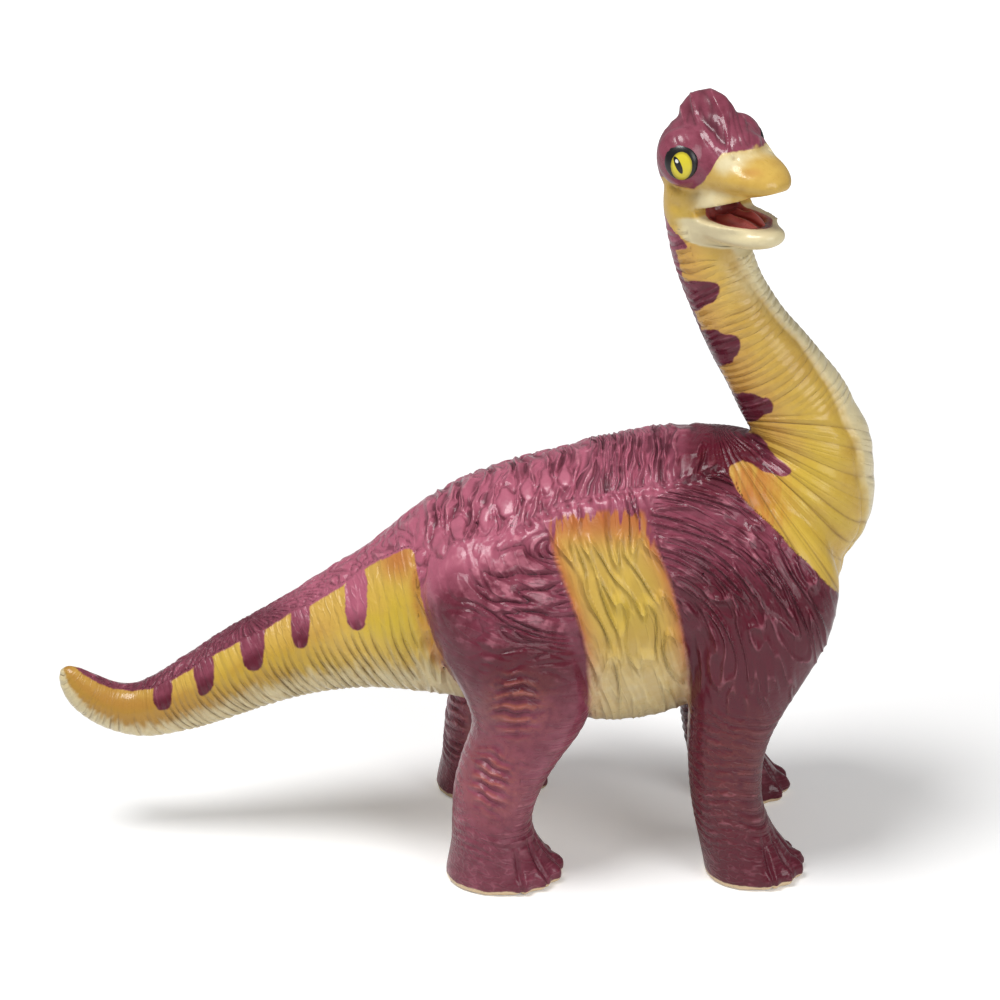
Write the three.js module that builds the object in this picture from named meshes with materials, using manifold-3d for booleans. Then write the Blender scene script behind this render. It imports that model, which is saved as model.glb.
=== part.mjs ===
import * as THREE from "three";
import { LoftGeometry } from "three/addons/geometries/LoftGeometry.js";
import { mergeVertices } from "three/addons/utils/BufferGeometryUtils.js";
import Module from "manifold-3d";

// A toy long-necked dinosaur, standing. +X is forward, +Y its left side, +Z up; the soles are on z = 0.
// It is moulded in solid soft plastic as ten pieces that plug together and are glued at the factory.

const wasm = await Module();
wasm.setup();

// Driving lengths in millimetres.
const BODY_LENGTH = 135; // tail tip to the bulge of the throat; trunk, neck and leg tables are shares of it
const HEAD_LENGTH = 25.5; // back of the skull to the snout tip; the head tables are shares of it
const FOLD_DEPTH = 0.32; // half the height of a moulded skin fold
const TOE_RADIUS = 2.4;
const EYE_RADIUS = 2.9;
const NOSTRIL_RADIUS = 0.6;
const HIND_STAGGER = 2.2; // how far the left hind foot stands behind the right one
const JOINT_GAP = 0.3; // glue gap between two mouldings
const POCKET_GAP = 0.45; // round a leg where it sits in the trunk
const LEG_PEG_RADIUS = 3.2;
const LEG_PEG_DEPTH = 3.6;
const SPINE_PEG_RADIUS = 4;
const SPINE_PEG_DEPTH = 6;
const HEAD_PEG_RADIUS = 2.6;
const HEAD_PEG_DEPTH = 4;
const JAW_PEG_RADIUS = 1.2;
const JAW_PEG_DEPTH = 2;
const TONGUE_PEG_RADIUS = 0.8;
const TONGUE_PEG_DEPTH = 1;
const PEG_CLEARANCE = 0.25; // all round a peg, and beyond its end
const PEG_ROOT = 1; // how far a peg runs on inside its own piece

// How finely each surface is skinned: rings along it, then points round each ring.
const BODY_GRID = [64, 24];
const NECK_GRID = [36, 20];
const LEG_GRID = [20, 16];
const SKULL_GRID = [18, 20];
const JAW_GRID = [12, 16];
const TONGUE_GRID = [10, 12];
const ROUND_SIDES = { peg: 11, large: 12, brow: 10, eye: 10, toe: 7, nostril: 6 };
const RING_SHARE = 0.7; // a bump has this many rings for each of its sides

// Skin folds: rings of the grid from one fold to the next, and how they lean as they go round.
const TRUNK_FOLD = { period: 2.6, skew: 0.25, turns: 1 };
const LEG_FOLD = { period: 2.8, skew: 0.3, turns: 2 };
const TAIL_FADE_RINGS = 12; // the folds grow to their full height over this many rings of the tail

// Each row is one section: centre x, centre z, half height, half width, as shares of BODY_LENGTH.
const BODY_SHARES = [
  [-0.5, 0.2274, 0.0067, 0.0052],
  [-0.4941, 0.217, 0.0163, 0.0126],
  [-0.4778, 0.197, 0.0252, 0.0222],
  [-0.4541, 0.18, 0.0289, 0.0267],
  [-0.4281, 0.1711, 0.0319, 0.0296],
  [-0.4022, 0.1704, 0.0356, 0.0326],
  [-0.377, 0.1778, 0.0393, 0.0356],
  [-0.3511, 0.1889, 0.0437, 0.0393],
  [-0.3252, 0.2015, 0.0474, 0.0437],
  [-0.2993, 0.2156, 0.0511, 0.0474],
  [-0.2741, 0.2289, 0.0541, 0.0511],
  [-0.2489, 0.2407, 0.057, 0.0541],
  [-0.2237, 0.2519, 0.06, 0.0585],
  [-0.1985, 0.2622, 0.0644, 0.063],
  [-0.1733, 0.2726, 0.0704, 0.0689],
  [-0.1481, 0.2822, 0.077, 0.0756],
  [-0.1237, 0.2904, 0.0844, 0.083],
  [-0.0985, 0.2978, 0.0926, 0.0911],
  [-0.0696, 0.3059, 0.1052, 0.1015],
  [-0.037, 0.3156, 0.1215, 0.1119],
  [0, 0.3252, 0.1385, 0.123],
  [0.0444, 0.3333, 0.1541, 0.1333],
  [0.0889, 0.3393, 0.1644, 0.1407],
  [0.1333, 0.3437, 0.1719, 0.1437],
  [0.1778, 0.3496, 0.1778, 0.1452],
  [0.2222, 0.3585, 0.1793, 0.143],
  [0.2667, 0.3696, 0.1793, 0.1385],
  [0.3111, 0.3778, 0.1689, 0.1289],
  [0.3556, 0.3837, 0.1496, 0.1156],
  [0.3978, 0.3852, 0.1215, 0.0963],
  [0.4304, 0.3837, 0.0867, 0.0704],
  [0.4519, 0.3822, 0.0481, 0.0407],
  [0.46, 0.3815, 0.0185, 0.0163],
];
const NECK_SHARES = [
  [0.2985, 0.3852, 0.0889, 0.0889],
  [0.3548, 0.4222, 0.0963, 0.0911],
  [0.4022, 0.4696, 0.0948, 0.0815],
  [0.423, 0.5185, 0.0741, 0.0667],
  [0.4133, 0.5481, 0.0667, 0.0607],
  [0.3978, 0.5748, 0.0622, 0.0563],
  [0.38, 0.6022, 0.0593, 0.0533],
  [0.36, 0.6333, 0.0548, 0.0496],
  [0.3385, 0.6644, 0.0504, 0.0459],
  [0.3215, 0.6941, 0.0474, 0.0437],
  [0.3074, 0.7222, 0.0452, 0.0422],
  [0.2963, 0.7496, 0.0452, 0.0415],
  [0.2874, 0.7763, 0.0452, 0.0415],
  [0.28, 0.8037, 0.0437, 0.0415],
  [0.2748, 0.8296, 0.043, 0.0407],
  [0.2726, 0.8556, 0.04, 0.0385],
];
// Each row is centre x, centre z, half length, half width, then how far out the centre lies.
const HIND_LEG_SHARES = [
  [0.0407, 0.4556, 0.0193, 0.0133, 0.0741],
  [0.04, 0.4415, 0.0593, 0.0385, 0.077],
  [0.04, 0.397, 0.0889, 0.0637, 0.0859],
  [0.0474, 0.3444, 0.0948, 0.077, 0.0933],
  [0.0607, 0.2963, 0.0904, 0.0763, 0.1015],
  [0.0763, 0.2444, 0.0785, 0.0681, 0.1059],
  [0.0756, 0.2074, 0.0681, 0.0615, 0.1096],
  [0.0541, 0.163, 0.06, 0.057, 0.1126],
  [0.0385, 0.1222, 0.0533, 0.0533, 0.1141],
  [0.0319, 0.0815, 0.0489, 0.0519, 0.1148],
  [0.0348, 0.0519, 0.0526, 0.0533, 0.1156],
  [0.0415, 0.0259, 0.0637, 0.0556, 0.1156],
  [0.0432, 0.0089, 0.068, 0.0578, 0.1156],
  [0.043, 0, 0.0672, 0.0563, 0.1156],
];
const FRONT_LEG_SHARES = [
  [0.3356, 0.4837, 0.0193, 0.0133, 0.0637],
  [0.3363, 0.4696, 0.0563, 0.0385, 0.0681],
  [0.3474, 0.4296, 0.0859, 0.0593, 0.0793],
  [0.3563, 0.3778, 0.0919, 0.0696, 0.0889],
  [0.3541, 0.3259, 0.0859, 0.0704, 0.0963],
  [0.343, 0.2741, 0.0733, 0.0644, 0.0993],
  [0.3304, 0.2296, 0.06, 0.0556, 0.1015],
  [0.32, 0.1852, 0.0504, 0.0496, 0.103],
  [0.317, 0.1407, 0.0452, 0.0467, 0.1037],
  [0.3207, 0.0963, 0.0437, 0.0452, 0.1044],
  [0.3319, 0.0593, 0.0474, 0.0481, 0.1044],
  [0.3454, 0.0296, 0.0548, 0.0526, 0.1052],
  [0.3515, 0.0096, 0.057, 0.0556, 0.1052],
  [0.3519, 0, 0.0563, 0.0541, 0.1052],
];
// The head's own sections run forward: centre along, centre up, half height, half width, of HEAD_LENGTH.
const SKULL_SHARES = [
  [-0.35, -0.03, 0.05, 0.05],
  [-0.32, -0.02, 0.17, 0.15],
  [-0.24, 0, 0.27, 0.24],
  [-0.1, 0.02, 0.33, 0.275],
  [0.04, 0.03, 0.34, 0.27],
  [0.14, 0.01, 0.3, 0.26],
  [0.22, -0.01, 0.235, 0.25],
  [0.31, -0.04, 0.17, 0.235],
  [0.4, -0.06, 0.13, 0.21],
  [0.475, -0.082, 0.098, 0.17],
  [0.535, -0.1, 0.066, 0.115],
  [0.57, -0.11, 0.03, 0.05],
];
const SKULL_BELLY_SHARE = 0.86; // the skull's lower half is this much of its upper half
const JAW_SHARES = [
  [-0.12, -0.3, 0.15, 0.235],
  [-0.02, -0.33, 0.135, 0.25],
  [0.08, -0.352, 0.115, 0.24],
  [0.2, -0.388, 0.095, 0.215],
  [0.32, -0.413, 0.08, 0.185],
  [0.41, -0.42, 0.068, 0.145],
  [0.47, -0.42, 0.05, 0.095],
  [0.5, -0.42, 0.025, 0.045],
];
const TONGUE_SHARES = [
  [0.02, -0.335, 0.02, 0.05],
  [0.06, -0.335, 0.035, 0.09],
  [0.16, -0.345, 0.04, 0.105],
  [0.27, -0.355, 0.036, 0.095],
  [0.35, -0.365, 0.022, 0.055],
];
// What stands on the skull or is hollowed from the head: the middle of each, and its half lengths.
const CREST_SHARES = { at: [0.03, 0, 0.28], halves: [0.21, 0.12, 0.198] };
const BRIDGE_SHARES = { at: [0.21, 0, 0.12], halves: [0.17, 0.14, 0.13] };
const BROW_SHARES = { at: [-0.008, 0.243, 0.09], halves: [0.172, 0.137, 0.18] };
const EYE_SHARES = { at: [0.054, 0.321, 0.09], flatness: 0.43 };
const NOSTRIL_SHARES = { at: [0.32, 0.17, 0.065], tallness: 1.5 };
const PALATE_SHARES = { at: [0.24, 0, -0.24], halves: [0.3, 0.17, 0.13] };
const SCOOP_SHARES = { at: [0.2, 0, -0.28], halves: [0.25, 0.165, 0.1] };
const TONGUE_ROOT_SHARES = [0.17, 0, -0.345];
const BROW_TURN = THREE.MathUtils.degToRad(-17); // brows and eyes toe in towards the snout
const EYE_TURN = THREE.MathUtils.degToRad(-29);
// Where the head sits, and how it turns to the figure's right and tips up.
const HEAD_PLACE_SHARES = [0.29, 0, 0.875];
const HEAD_YAW = THREE.MathUtils.degToRad(-48);
const HEAD_PITCH = THREE.MathUtils.degToRad(9);
// Joint planes: a point on the plane and the way to the outer piece, all as shares.
const TAIL_JOINT_SHARES = { at: [-0.0704, 0, 0.3111], way: [-0.95, 0, -0.3] };
const NECK_JOINT_SHARES = { at: [0.4148, 0, 0.4667], way: [0.757, 0, 0.651] };
const HEAD_JOINT_SHARES = { at: [0.2926, 0, 0.8], way: [0.25, 0, 0.97] };
const HIND_JOINT_SHARES = { at: [0.0593, 0.0593, 0.3481], way: [0, 1, -0.12] };
const FRONT_JOINT_SHARES = { at: [0.3556, 0.0556, 0.3778], way: [0, 1, -0.12] };
const JAW_JOINT_SHARES = { at: [0.0, 0, -0.34], way: [1, 0, 0.1] };
const TOE_FAN = [-70, -44, -18, 8, 38].map(THREE.MathUtils.degToRad); // inwards from straight ahead
const TOE_SHARES = { halves: [1.25, 0.8, 1], height: 0.55, inset: 0.75, turn: 0.8 }; // of TOE_RADIUS

// The skin of a finished surface becomes a solid that can be joined and cut.
function solidOf(geometry) {
  const skin = new THREE.BufferGeometry();
  skin.setAttribute("position", geometry.getAttribute("position")).setIndex(geometry.getIndex());
  const merged = mergeVertices(skin);
  return new wasm.Manifold(
    new wasm.Mesh({
      numProp: 3,
      vertProperties: new Float32Array(merged.attributes.position.array),
      triVerts: new Uint32Array(merged.index.array),
    }),
  );
}

// A smooth value between the rows of a share table, at a place from 0 to 1 along it.
function sampler(rows, unit) {
  const spine = new THREE.CatmullRomCurve3(
    rows.map(([x, z, , , out = 0]) => new THREE.Vector3(x, out, z).multiplyScalar(unit)),
    false,
    "catmullrom",
  );
  const size = new THREE.CatmullRomCurve3(
    rows.map(([, , height, width]) => new THREE.Vector3(height, width, 0).multiplyScalar(unit)),
    false,
    "catmullrom",
  );
  return { spine, size };
}

// Oval sections strung square to the spine of a table and skinned. `fold` gives the height of the skin
// over the oval, from the ring's number and the angle round it; `grow` makes every section larger.
// `level` keeps the sections flat, going down, and `belly` makes their lower halves shallower.
function sweep(rows, unit, [rings, sides], { fold = () => 0, grow = 0, level = false, belly = 1 } = {}) {
  const { spine, size } = sampler(rows, unit);
  const across = new THREE.Vector3(0, 1, 0);
  const sections = [];
  for (let ring = 0; ring <= rings; ring++) {
    const along = ring / rings;
    const centre = spine.getPoint(along);
    const heading = level ? new THREE.Vector3(0, 0, -1) : spine.getTangent(along).setY(0).normalize();
    const upward = new THREE.Vector3().crossVectors(heading, across);
    const { x: half, y: width } = size.getPoint(along);
    const end = ring === 0 ? -1 : ring === rings ? 1 : 0;
    centre.addScaledVector(heading, end * grow);
    const points = [];
    for (let side = 0; side < sides; side++) {
      const angle = (side / sides) * Math.PI * 2;
      const lift = grow + (end ? 0 : fold(ring, angle));
      const rise = Math.sin(angle) < 0 ? belly : 1;
      points.push(
        centre
          .clone()
          .addScaledVector(across, Math.cos(angle) * (width + lift))
          .addScaledVector(upward, Math.sin(angle) * (half * rise + lift)),
      );
    }
    sections.push(points);
  }
  return solidOf(new LoftGeometry(sections, { closed: true, capStart: true, capEnd: true }));
}

// A plain round bar between two points, used for pegs and for the sockets that take them.
function bar(from, to, radius) {
  const way = to.clone().sub(from);
  const geometry = new THREE.CylinderGeometry(radius, radius, way.length(), ROUND_SIDES.peg);
  geometry.applyQuaternion(
    new THREE.Quaternion().setFromUnitVectors(new THREE.Vector3(0, 1, 0), way.clone().normalize()),
  );
  geometry.translate(...from.clone().add(to).multiplyScalar(0.5).toArray());
  return solidOf(geometry);
}

// An oval bump with its own half lengths along x, y and z, turned by a yaw.
function bump(centre, halves, yaw, sides) {
  const geometry = new THREE.SphereGeometry(1, sides, Math.ceil(sides * RING_SHARE));
  geometry.scale(...halves).rotateZ(yaw).translate(...centre);
  return solidOf(geometry);
}

// One factory joint: the plane, and the peg of the outer piece that plugs into the inner one.
function jointOf({ at, way }, unit, radius, depth, side = 1) {
  const point = new THREE.Vector3(at[0], at[1] * side, at[2]).multiplyScalar(unit);
  const normal = new THREE.Vector3(way[0], way[1] * side, way[2]).normalize();
  const end = (reach) => point.clone().addScaledVector(normal, reach);
  const offset = point.dot(normal);
  return {
    outer: (body) => body.trimByPlane(normal.toArray(), offset + JOINT_GAP / 2),
    inner: (body) => body.trimByPlane(normal.clone().negate().toArray(), -(offset - JOINT_GAP / 2)),
    pocket: (body) => body.trimByPlane(normal.toArray(), offset - JOINT_GAP / 2),
    peg: bar(end(PEG_ROOT), end(-depth), radius),
    socket: bar(end(PEG_ROOT), end(-depth - PEG_CLEARANCE), radius + PEG_CLEARANCE),
  };
}

// The height of the skin over its oval: a wave along the rings that leans as it goes round.
const wave = (ring, angle, { period, skew, turns }, side = 1) =>
  FOLD_DEPTH * Math.sin(Math.PI * 2 * (ring / period + side * skew * Math.sin(angle * turns)));

const bodySkin = sweep(BODY_SHARES, BODY_LENGTH, BODY_GRID, {
  fold: (ring, angle) => wave(ring, angle, TRUNK_FOLD) * Math.min(1, ring / TAIL_FADE_RINGS),
});
const neckSkin = sweep(NECK_SHARES, BODY_LENGTH, NECK_GRID, {
  fold: (ring, angle) => wave(ring, angle, TRUNK_FOLD),
});

// A leg is an oval column on a flat sole, with five toes fanned round the front of the foot.
function legSkin(rows, side, grow, stagger = 0) {
  const drop = (z) => 1 - THREE.MathUtils.smoothstep(z, 0, rows[3][1]);
  const back = stagger / BODY_LENGTH;
  const placed = rows.map(([x, z, half, width, out]) => [x - back * drop(z), z, half, width, out * side]);
  const fold = (ring, angle) => wave(ring, angle, LEG_FOLD, side);
  let leg = sweep(placed, BODY_LENGTH, LEG_GRID, { fold, grow, level: true });
  const [x, , half, across, out] = placed[placed.length - 1].map((share) => share * BODY_LENGTH);
  const height = TOE_RADIUS * TOE_SHARES.height;
  const width = across - TOE_RADIUS * TOE_SHARES.inset;
  for (const fan of TOE_FAN) {
    const centre = [x + Math.cos(fan) * (half - height), out + side * Math.sin(-fan) * width, height];
    const halves = TOE_SHARES.halves.map((share) => TOE_RADIUS * share + grow);
    leg = leg.add(bump(centre, halves, side * -fan * TOE_SHARES.turn, ROUND_SIDES.toe));
  }
  return leg.trimByPlane([0, 0, 1], 0);
}

const headFrame = new THREE.Matrix4()
  .makeTranslation(...HEAD_PLACE_SHARES.map((share) => share * BODY_LENGTH))
  .multiply(new THREE.Matrix4().makeRotationZ(HEAD_YAW))
  .multiply(new THREE.Matrix4().makeRotationY(-HEAD_PITCH));
const inHead = (body) => body.transform(headFrame.elements);
const onHead = ([x, y, z], side = 1) => [x, y * side, z].map((share) => share * HEAD_LENGTH);
const headBump = ({ at, halves }, side = 1, yaw = 0, sides = ROUND_SIDES.large) =>
  bump(onHead(at, side), onHead(halves), yaw * side, sides);

// The skull with its crest, the bridge of the snout, brow bulges, eyes and nostrils.
let skull = sweep(SKULL_SHARES, HEAD_LENGTH, SKULL_GRID, { belly: SKULL_BELLY_SHARE });
skull = skull.add(headBump(CREST_SHARES)).add(headBump(BRIDGE_SHARES));
for (const side of [-1, 1]) {
  const brow = headBump(BROW_SHARES, side, BROW_TURN, ROUND_SIDES.brow);
  const globe = [EYE_RADIUS, EYE_RADIUS * EYE_SHARES.flatness, EYE_RADIUS];
  const eye = bump(onHead(EYE_SHARES.at, side), globe, EYE_TURN * side, ROUND_SIDES.eye);
  const dimple = [NOSTRIL_RADIUS, NOSTRIL_RADIUS, NOSTRIL_RADIUS * NOSTRIL_SHARES.tallness];
  const nostril = bump(onHead(NOSTRIL_SHARES.at, side), dimple, 0, ROUND_SIDES.nostril);
  skull = skull.add(brow).add(eye).subtract(nostril);
}
const palate = headBump(PALATE_SHARES);
const scoop = headBump(SCOOP_SHARES);
const jawSkin = sweep(JAW_SHARES, HEAD_LENGTH, JAW_GRID);
const jawGrown = sweep(JAW_SHARES, HEAD_LENGTH, JAW_GRID, { grow: JOINT_GAP });
const tongueSkin = sweep(TONGUE_SHARES, HEAD_LENGTH, TONGUE_GRID);
const tongueGrown = sweep(TONGUE_SHARES, HEAD_LENGTH, TONGUE_GRID, { grow: JOINT_GAP });

const tailJoint = jointOf(TAIL_JOINT_SHARES, BODY_LENGTH, SPINE_PEG_RADIUS, SPINE_PEG_DEPTH);
const neckJoint = jointOf(NECK_JOINT_SHARES, BODY_LENGTH, SPINE_PEG_RADIUS, SPINE_PEG_DEPTH);
const headJoint = jointOf(HEAD_JOINT_SHARES, BODY_LENGTH, HEAD_PEG_RADIUS, HEAD_PEG_DEPTH);
const jawJoint = jointOf(JAW_JOINT_SHARES, HEAD_LENGTH, JAW_PEG_RADIUS, JAW_PEG_DEPTH);

// Legs first: their grown skins make the pockets in the trunk and the notches in the neck.
const legs = {};
const pockets = [];
const sockets = [];
for (const [place, rows, shares] of [
  ["hind_leg", HIND_LEG_SHARES, HIND_JOINT_SHARES],
  ["front_leg", FRONT_LEG_SHARES, FRONT_JOINT_SHARES],
])
  for (const [hand, side] of [["left", 1], ["right", -1]]) {
    const joint = jointOf(shares, BODY_LENGTH, LEG_PEG_RADIUS, LEG_PEG_DEPTH, side);
    const stagger = rows === HIND_LEG_SHARES && side > 0 ? HIND_STAGGER : 0;
    legs[`${place}_${hand}`] = joint.outer(legSkin(rows, side, 0, stagger)).add(joint.peg);
    pockets.push(joint.pocket(legSkin(rows, side, POCKET_GAP, stagger)));
    sockets.push(joint.socket);
  }
const withoutLegs = (body) => pockets.reduce((rest, pocket) => rest.subtract(pocket), body);

const whole = bodySkin.add(neckSkin);
let torso = tailJoint.inner(neckJoint.inner(whole));
torso = withoutLegs(torso).subtract(tailJoint.socket).subtract(neckJoint.socket);
for (const socket of sockets) torso = torso.subtract(socket);
const tail = tailJoint.outer(whole).add(tailJoint.peg);
let neck = withoutLegs(headJoint.inner(neckJoint.outer(whole)));
neck = neck.add(neckJoint.peg).subtract(inHead(jawGrown)).subtract(headJoint.socket);

const mouthCut = palate.add(jawJoint.pocket(jawGrown)).add(jawJoint.socket);
const head = headJoint.outer(inHead(skull).add(neckSkin)).add(headJoint.peg).subtract(inHead(mouthCut));
const tongueRoot = new THREE.Vector3(...onHead(TONGUE_ROOT_SHARES));
const tongueFoot = tongueRoot.clone().setZ(tongueRoot.z - TONGUE_PEG_DEPTH - TONGUE_PEG_RADIUS);
const tongueWell = tongueFoot.clone().setZ(tongueFoot.z - PEG_CLEARANCE);
const jaw = jawJoint
  .outer(jawSkin)
  .subtract(scoop)
  .add(jawJoint.peg)
  .subtract(tongueGrown)
  .subtract(bar(tongueRoot, tongueWell, TONGUE_PEG_RADIUS + PEG_CLEARANCE));
const tongue = tongueSkin.add(bar(tongueRoot, tongueFoot, TONGUE_PEG_RADIUS));

const PAINTS = {
  plum: { color: 0x7d3a55, roughness: 0.45, metalness: 0 },
  yellow: { color: 0xdcb84a, roughness: 0.45, metalness: 0 },
  cream: { color: 0xe6d8b8, roughness: 0.5, metalness: 0 },
  red: { color: 0x9c3f3a, roughness: 0.35, metalness: 0 },
};
const group = new THREE.Group();
function place(name, body, paint) {
  const made = body.getMesh();
  const geometry = new THREE.BufferGeometry();
  geometry.setAttribute("position", new THREE.Float32BufferAttribute(made.vertProperties, 3));
  geometry.setIndex(new THREE.Uint32BufferAttribute(made.triVerts, 1));
  geometry.computeVertexNormals();
  const mesh = new THREE.Mesh(geometry, new THREE.MeshStandardMaterial(PAINTS[paint]));
  mesh.name = name;
  group.add(mesh);
}
place("torso", torso, "plum");
place("neck", neck, "yellow");
place("head", head, "plum");
place("lower_jaw", inHead(jaw), "cream");
place("tongue", inHead(tongue), "red");
place("tail", tail, "yellow");
for (const [name, body] of Object.entries(legs)) place(name, body, "plum");

// The frame's origin is under the middle of the figure's box, at the level of the soles.
const box = new THREE.Box3().setFromObject(group);
const middle = box.getCenter(new THREE.Vector3());
for (const mesh of group.children) mesh.geometry.translate(-middle.x, -middle.y, -box.min.z);

export default group;
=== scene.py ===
import math

import bmesh
import bpy
import mathutils
import numpy as np
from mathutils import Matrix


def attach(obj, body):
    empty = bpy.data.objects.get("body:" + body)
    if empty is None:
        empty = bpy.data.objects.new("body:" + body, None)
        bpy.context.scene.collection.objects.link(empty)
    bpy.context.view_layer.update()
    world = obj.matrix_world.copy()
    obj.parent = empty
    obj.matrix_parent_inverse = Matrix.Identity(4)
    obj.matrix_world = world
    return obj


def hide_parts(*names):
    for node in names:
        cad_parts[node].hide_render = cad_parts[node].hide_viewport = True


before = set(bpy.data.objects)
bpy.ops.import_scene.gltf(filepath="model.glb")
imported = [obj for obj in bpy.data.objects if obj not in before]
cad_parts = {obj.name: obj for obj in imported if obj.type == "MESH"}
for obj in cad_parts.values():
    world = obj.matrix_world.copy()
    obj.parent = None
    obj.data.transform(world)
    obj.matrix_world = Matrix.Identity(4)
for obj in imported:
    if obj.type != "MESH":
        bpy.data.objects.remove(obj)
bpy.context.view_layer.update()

bl_info = {
    "name": "Toy Dinosaur Figure",
    "version": (1, 0, 0),
    "blender": (4, 5, 0),
    "location": "3D View > Sidebar > Dinosaur",
    "description": "The moulded and brush-painted skin of a long-necked toy dinosaur",
    "category": "Object",
}

MM = 0.001

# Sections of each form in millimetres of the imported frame: centre x, centre z, half height,
# half width and, for the legs, how far out the centre lies. The legs' sections are level.
BODY_MM = np.array([
    [-66.53, 30.7, 0.9, 0.7], [-65.73, 29.3, 2.2, 1.7], [-63.53, 26.6, 3.4, 3],
    [-60.33, 24.3, 3.9, 3.6], [-56.83, 23.1, 4.3, 4], [-53.33, 23, 4.8, 4.4],
    [-49.93, 24, 5.3, 4.8], [-46.43, 25.5, 5.9, 5.3], [-42.93, 27.2, 6.4, 5.9],
    [-39.43, 29.1, 6.9, 6.4], [-36.03, 30.9, 7.3, 6.9], [-32.63, 32.5, 7.7, 7.3],
    [-29.23, 34, 8.1, 7.9], [-25.83, 35.4, 8.7, 8.5], [-22.43, 36.8, 9.5, 9.3],
    [-19.03, 38.1, 10.4, 10.2], [-15.73, 39.2, 11.4, 11.2], [-12.33, 40.2, 12.5, 12.3],
    [-8.43, 41.3, 14.2, 13.7], [-4.03, 42.6, 16.4, 15.1], [0.97, 43.9, 18.7, 16.6],
    [6.97, 45, 20.8, 18], [12.97, 45.8, 22.2, 19], [18.97, 46.4, 23.2, 19.4],
    [24.97, 47, 24.2, 19.6], [30.97, 48.6, 24, 19.3], [36.97, 50.4, 23.4, 18.7],
    [42.97, 51.5, 22.3, 17.4], [48.97, 51.8, 20.2, 15.6], [54.67, 52, 16.4, 13],
    [59.07, 51.8, 11.7, 9.5], [61.97, 51.6, 6.5, 5.5], [63.07, 51.5, 2.5, 2.2],
])
NECK_MM = np.array([
    [41.27, 52, 12, 12], [48.87, 57, 13, 12.3], [55.27, 63.4, 12.8, 11], [57.6, 70, 9.5, 9],
    [56.3, 74, 8.6, 8.2], [54.67, 77.6, 8.4, 7.6], [52.27, 81.3, 8, 7.2], [49.57, 85.5, 7.4, 6.7],
    [46.67, 89.7, 6.8, 6.2], [44.37, 93.7, 6.4, 5.9], [42.47, 97.5, 6.1, 5.7],
    [40.97, 101.2, 6.1, 5.6], [39.77, 104.8, 6.1, 5.6], [38.77, 108.5, 5.9, 5.6],
    [38.07, 112, 5.8, 5.5], [37.77, 115.5, 5.4, 5.2],
])
HIND_LEG_MM = np.array([
    [6.47, 61.5, 2.6, 1.8, 10], [6.37, 59.6, 8, 5.2, 10.4], [6.37, 53.6, 12, 8.6, 11.6],
    [7.37, 46.5, 12.8, 10.4, 12.6], [9.17, 40, 12.2, 10.3, 13.7], [11.27, 33, 10.6, 9.2, 14.3],
    [11.17, 28, 9.2, 8.3, 14.8], [8.27, 22, 8.1, 7.7, 15.2], [6.17, 16.5, 7.2, 7.2, 15.4],
    [5.27, 11, 6.6, 7, 15.5], [5.67, 7, 7.1, 7.2, 15.6], [6.57, 3.5, 8.6, 7.5, 15.6],
    [6.8, 1.2, 9.2, 7.8, 15.6], [6.77, 0, 9.1, 7.6, 15.6],
])
FRONT_LEG_MM = np.array([
    [46.27, 65.3, 2.6, 1.8, 8.6], [46.37, 63.4, 7.6, 5.2, 9.2], [47.87, 58, 11.6, 8, 10.7],
    [49.07, 51, 12.4, 9.4, 12], [48.77, 44, 11.6, 9.5, 13], [47.27, 37, 9.9, 8.7, 13.4],
    [45.57, 31, 8.1, 7.5, 13.7], [44.17, 25, 6.8, 6.7, 13.9], [43.77, 19, 6.1, 6.3, 14],
    [44.27, 13, 5.9, 6.1, 14.1], [45.77, 8, 6.4, 6.5, 14.1], [47.6, 4, 7.4, 7.1, 14.2],
    [48.42, 1.3, 7.7, 7.5, 14.2], [48.48, 0, 7.6, 7.3, 14.2],
])
# The head's own sections in millimetres, before it is turned and put in its place.
HEAD_LENGTH = 25.5
SKULL_MM = HEAD_LENGTH * np.array([
    [-0.35, -0.03, 0.05, 0.05], [-0.32, -0.02, 0.17, 0.15], [-0.24, 0, 0.27, 0.24],
    [-0.1, 0.02, 0.33, 0.275], [0.04, 0.03, 0.34, 0.27], [0.14, 0.01, 0.30, 0.26],
    [0.22, -0.01, 0.235, 0.25], [0.31, -0.04, 0.17, 0.235], [0.4, -0.06, 0.13, 0.21],
    [0.475, -0.082, 0.098, 0.17], [0.535, -0.1, 0.066, 0.115], [0.57, -0.11, 0.03, 0.05],
])
JAW_MM = HEAD_LENGTH * np.array([
    [-0.12, -0.3, 0.15, 0.235], [-0.02, -0.33, 0.135, 0.25], [0.08, -0.352, 0.115, 0.24],
    [0.2, -0.388, 0.095, 0.215], [0.32, -0.413, 0.08, 0.185], [0.41, -0.42, 0.068, 0.145],
    [0.47, -0.42, 0.05, 0.095], [0.5, -0.42, 0.025, 0.045],
])
TONGUE_MM = HEAD_LENGTH * np.array([
    [0.02, -0.335, 0.02, 0.05], [0.06, -0.335, 0.035, 0.09], [0.16, -0.345, 0.04, 0.105],
    [0.27, -0.355, 0.036, 0.095], [0.35, -0.365, 0.022, 0.055],
])
CREST_MM = HEAD_LENGTH * np.array([[-0.015, 0, 0.282], [0.23, 0.12, 0.196]])
BRIDGE_MM = HEAD_LENGTH * np.array([[0.21, 0, 0.12], [0.17, 0.14, 0.13]])
BROW_MM = HEAD_LENGTH * np.array([[-0.008, 0.245, 0.1], [0.172, 0.14, 0.185]])
CHEEK_MM = HEAD_LENGTH * np.array([[0.13, 0.165, -0.25], [0.3, 0.087, 0.175]])
JOWL_MM = HEAD_LENGTH * np.array([[0.0, 0.155, -0.33], [0.14, 0.1, 0.145]])
EYE_MM = HEAD_LENGTH * np.array([[0.054, 0.327, 0.09], [0.106, 0.046, 0.112]])
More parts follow.
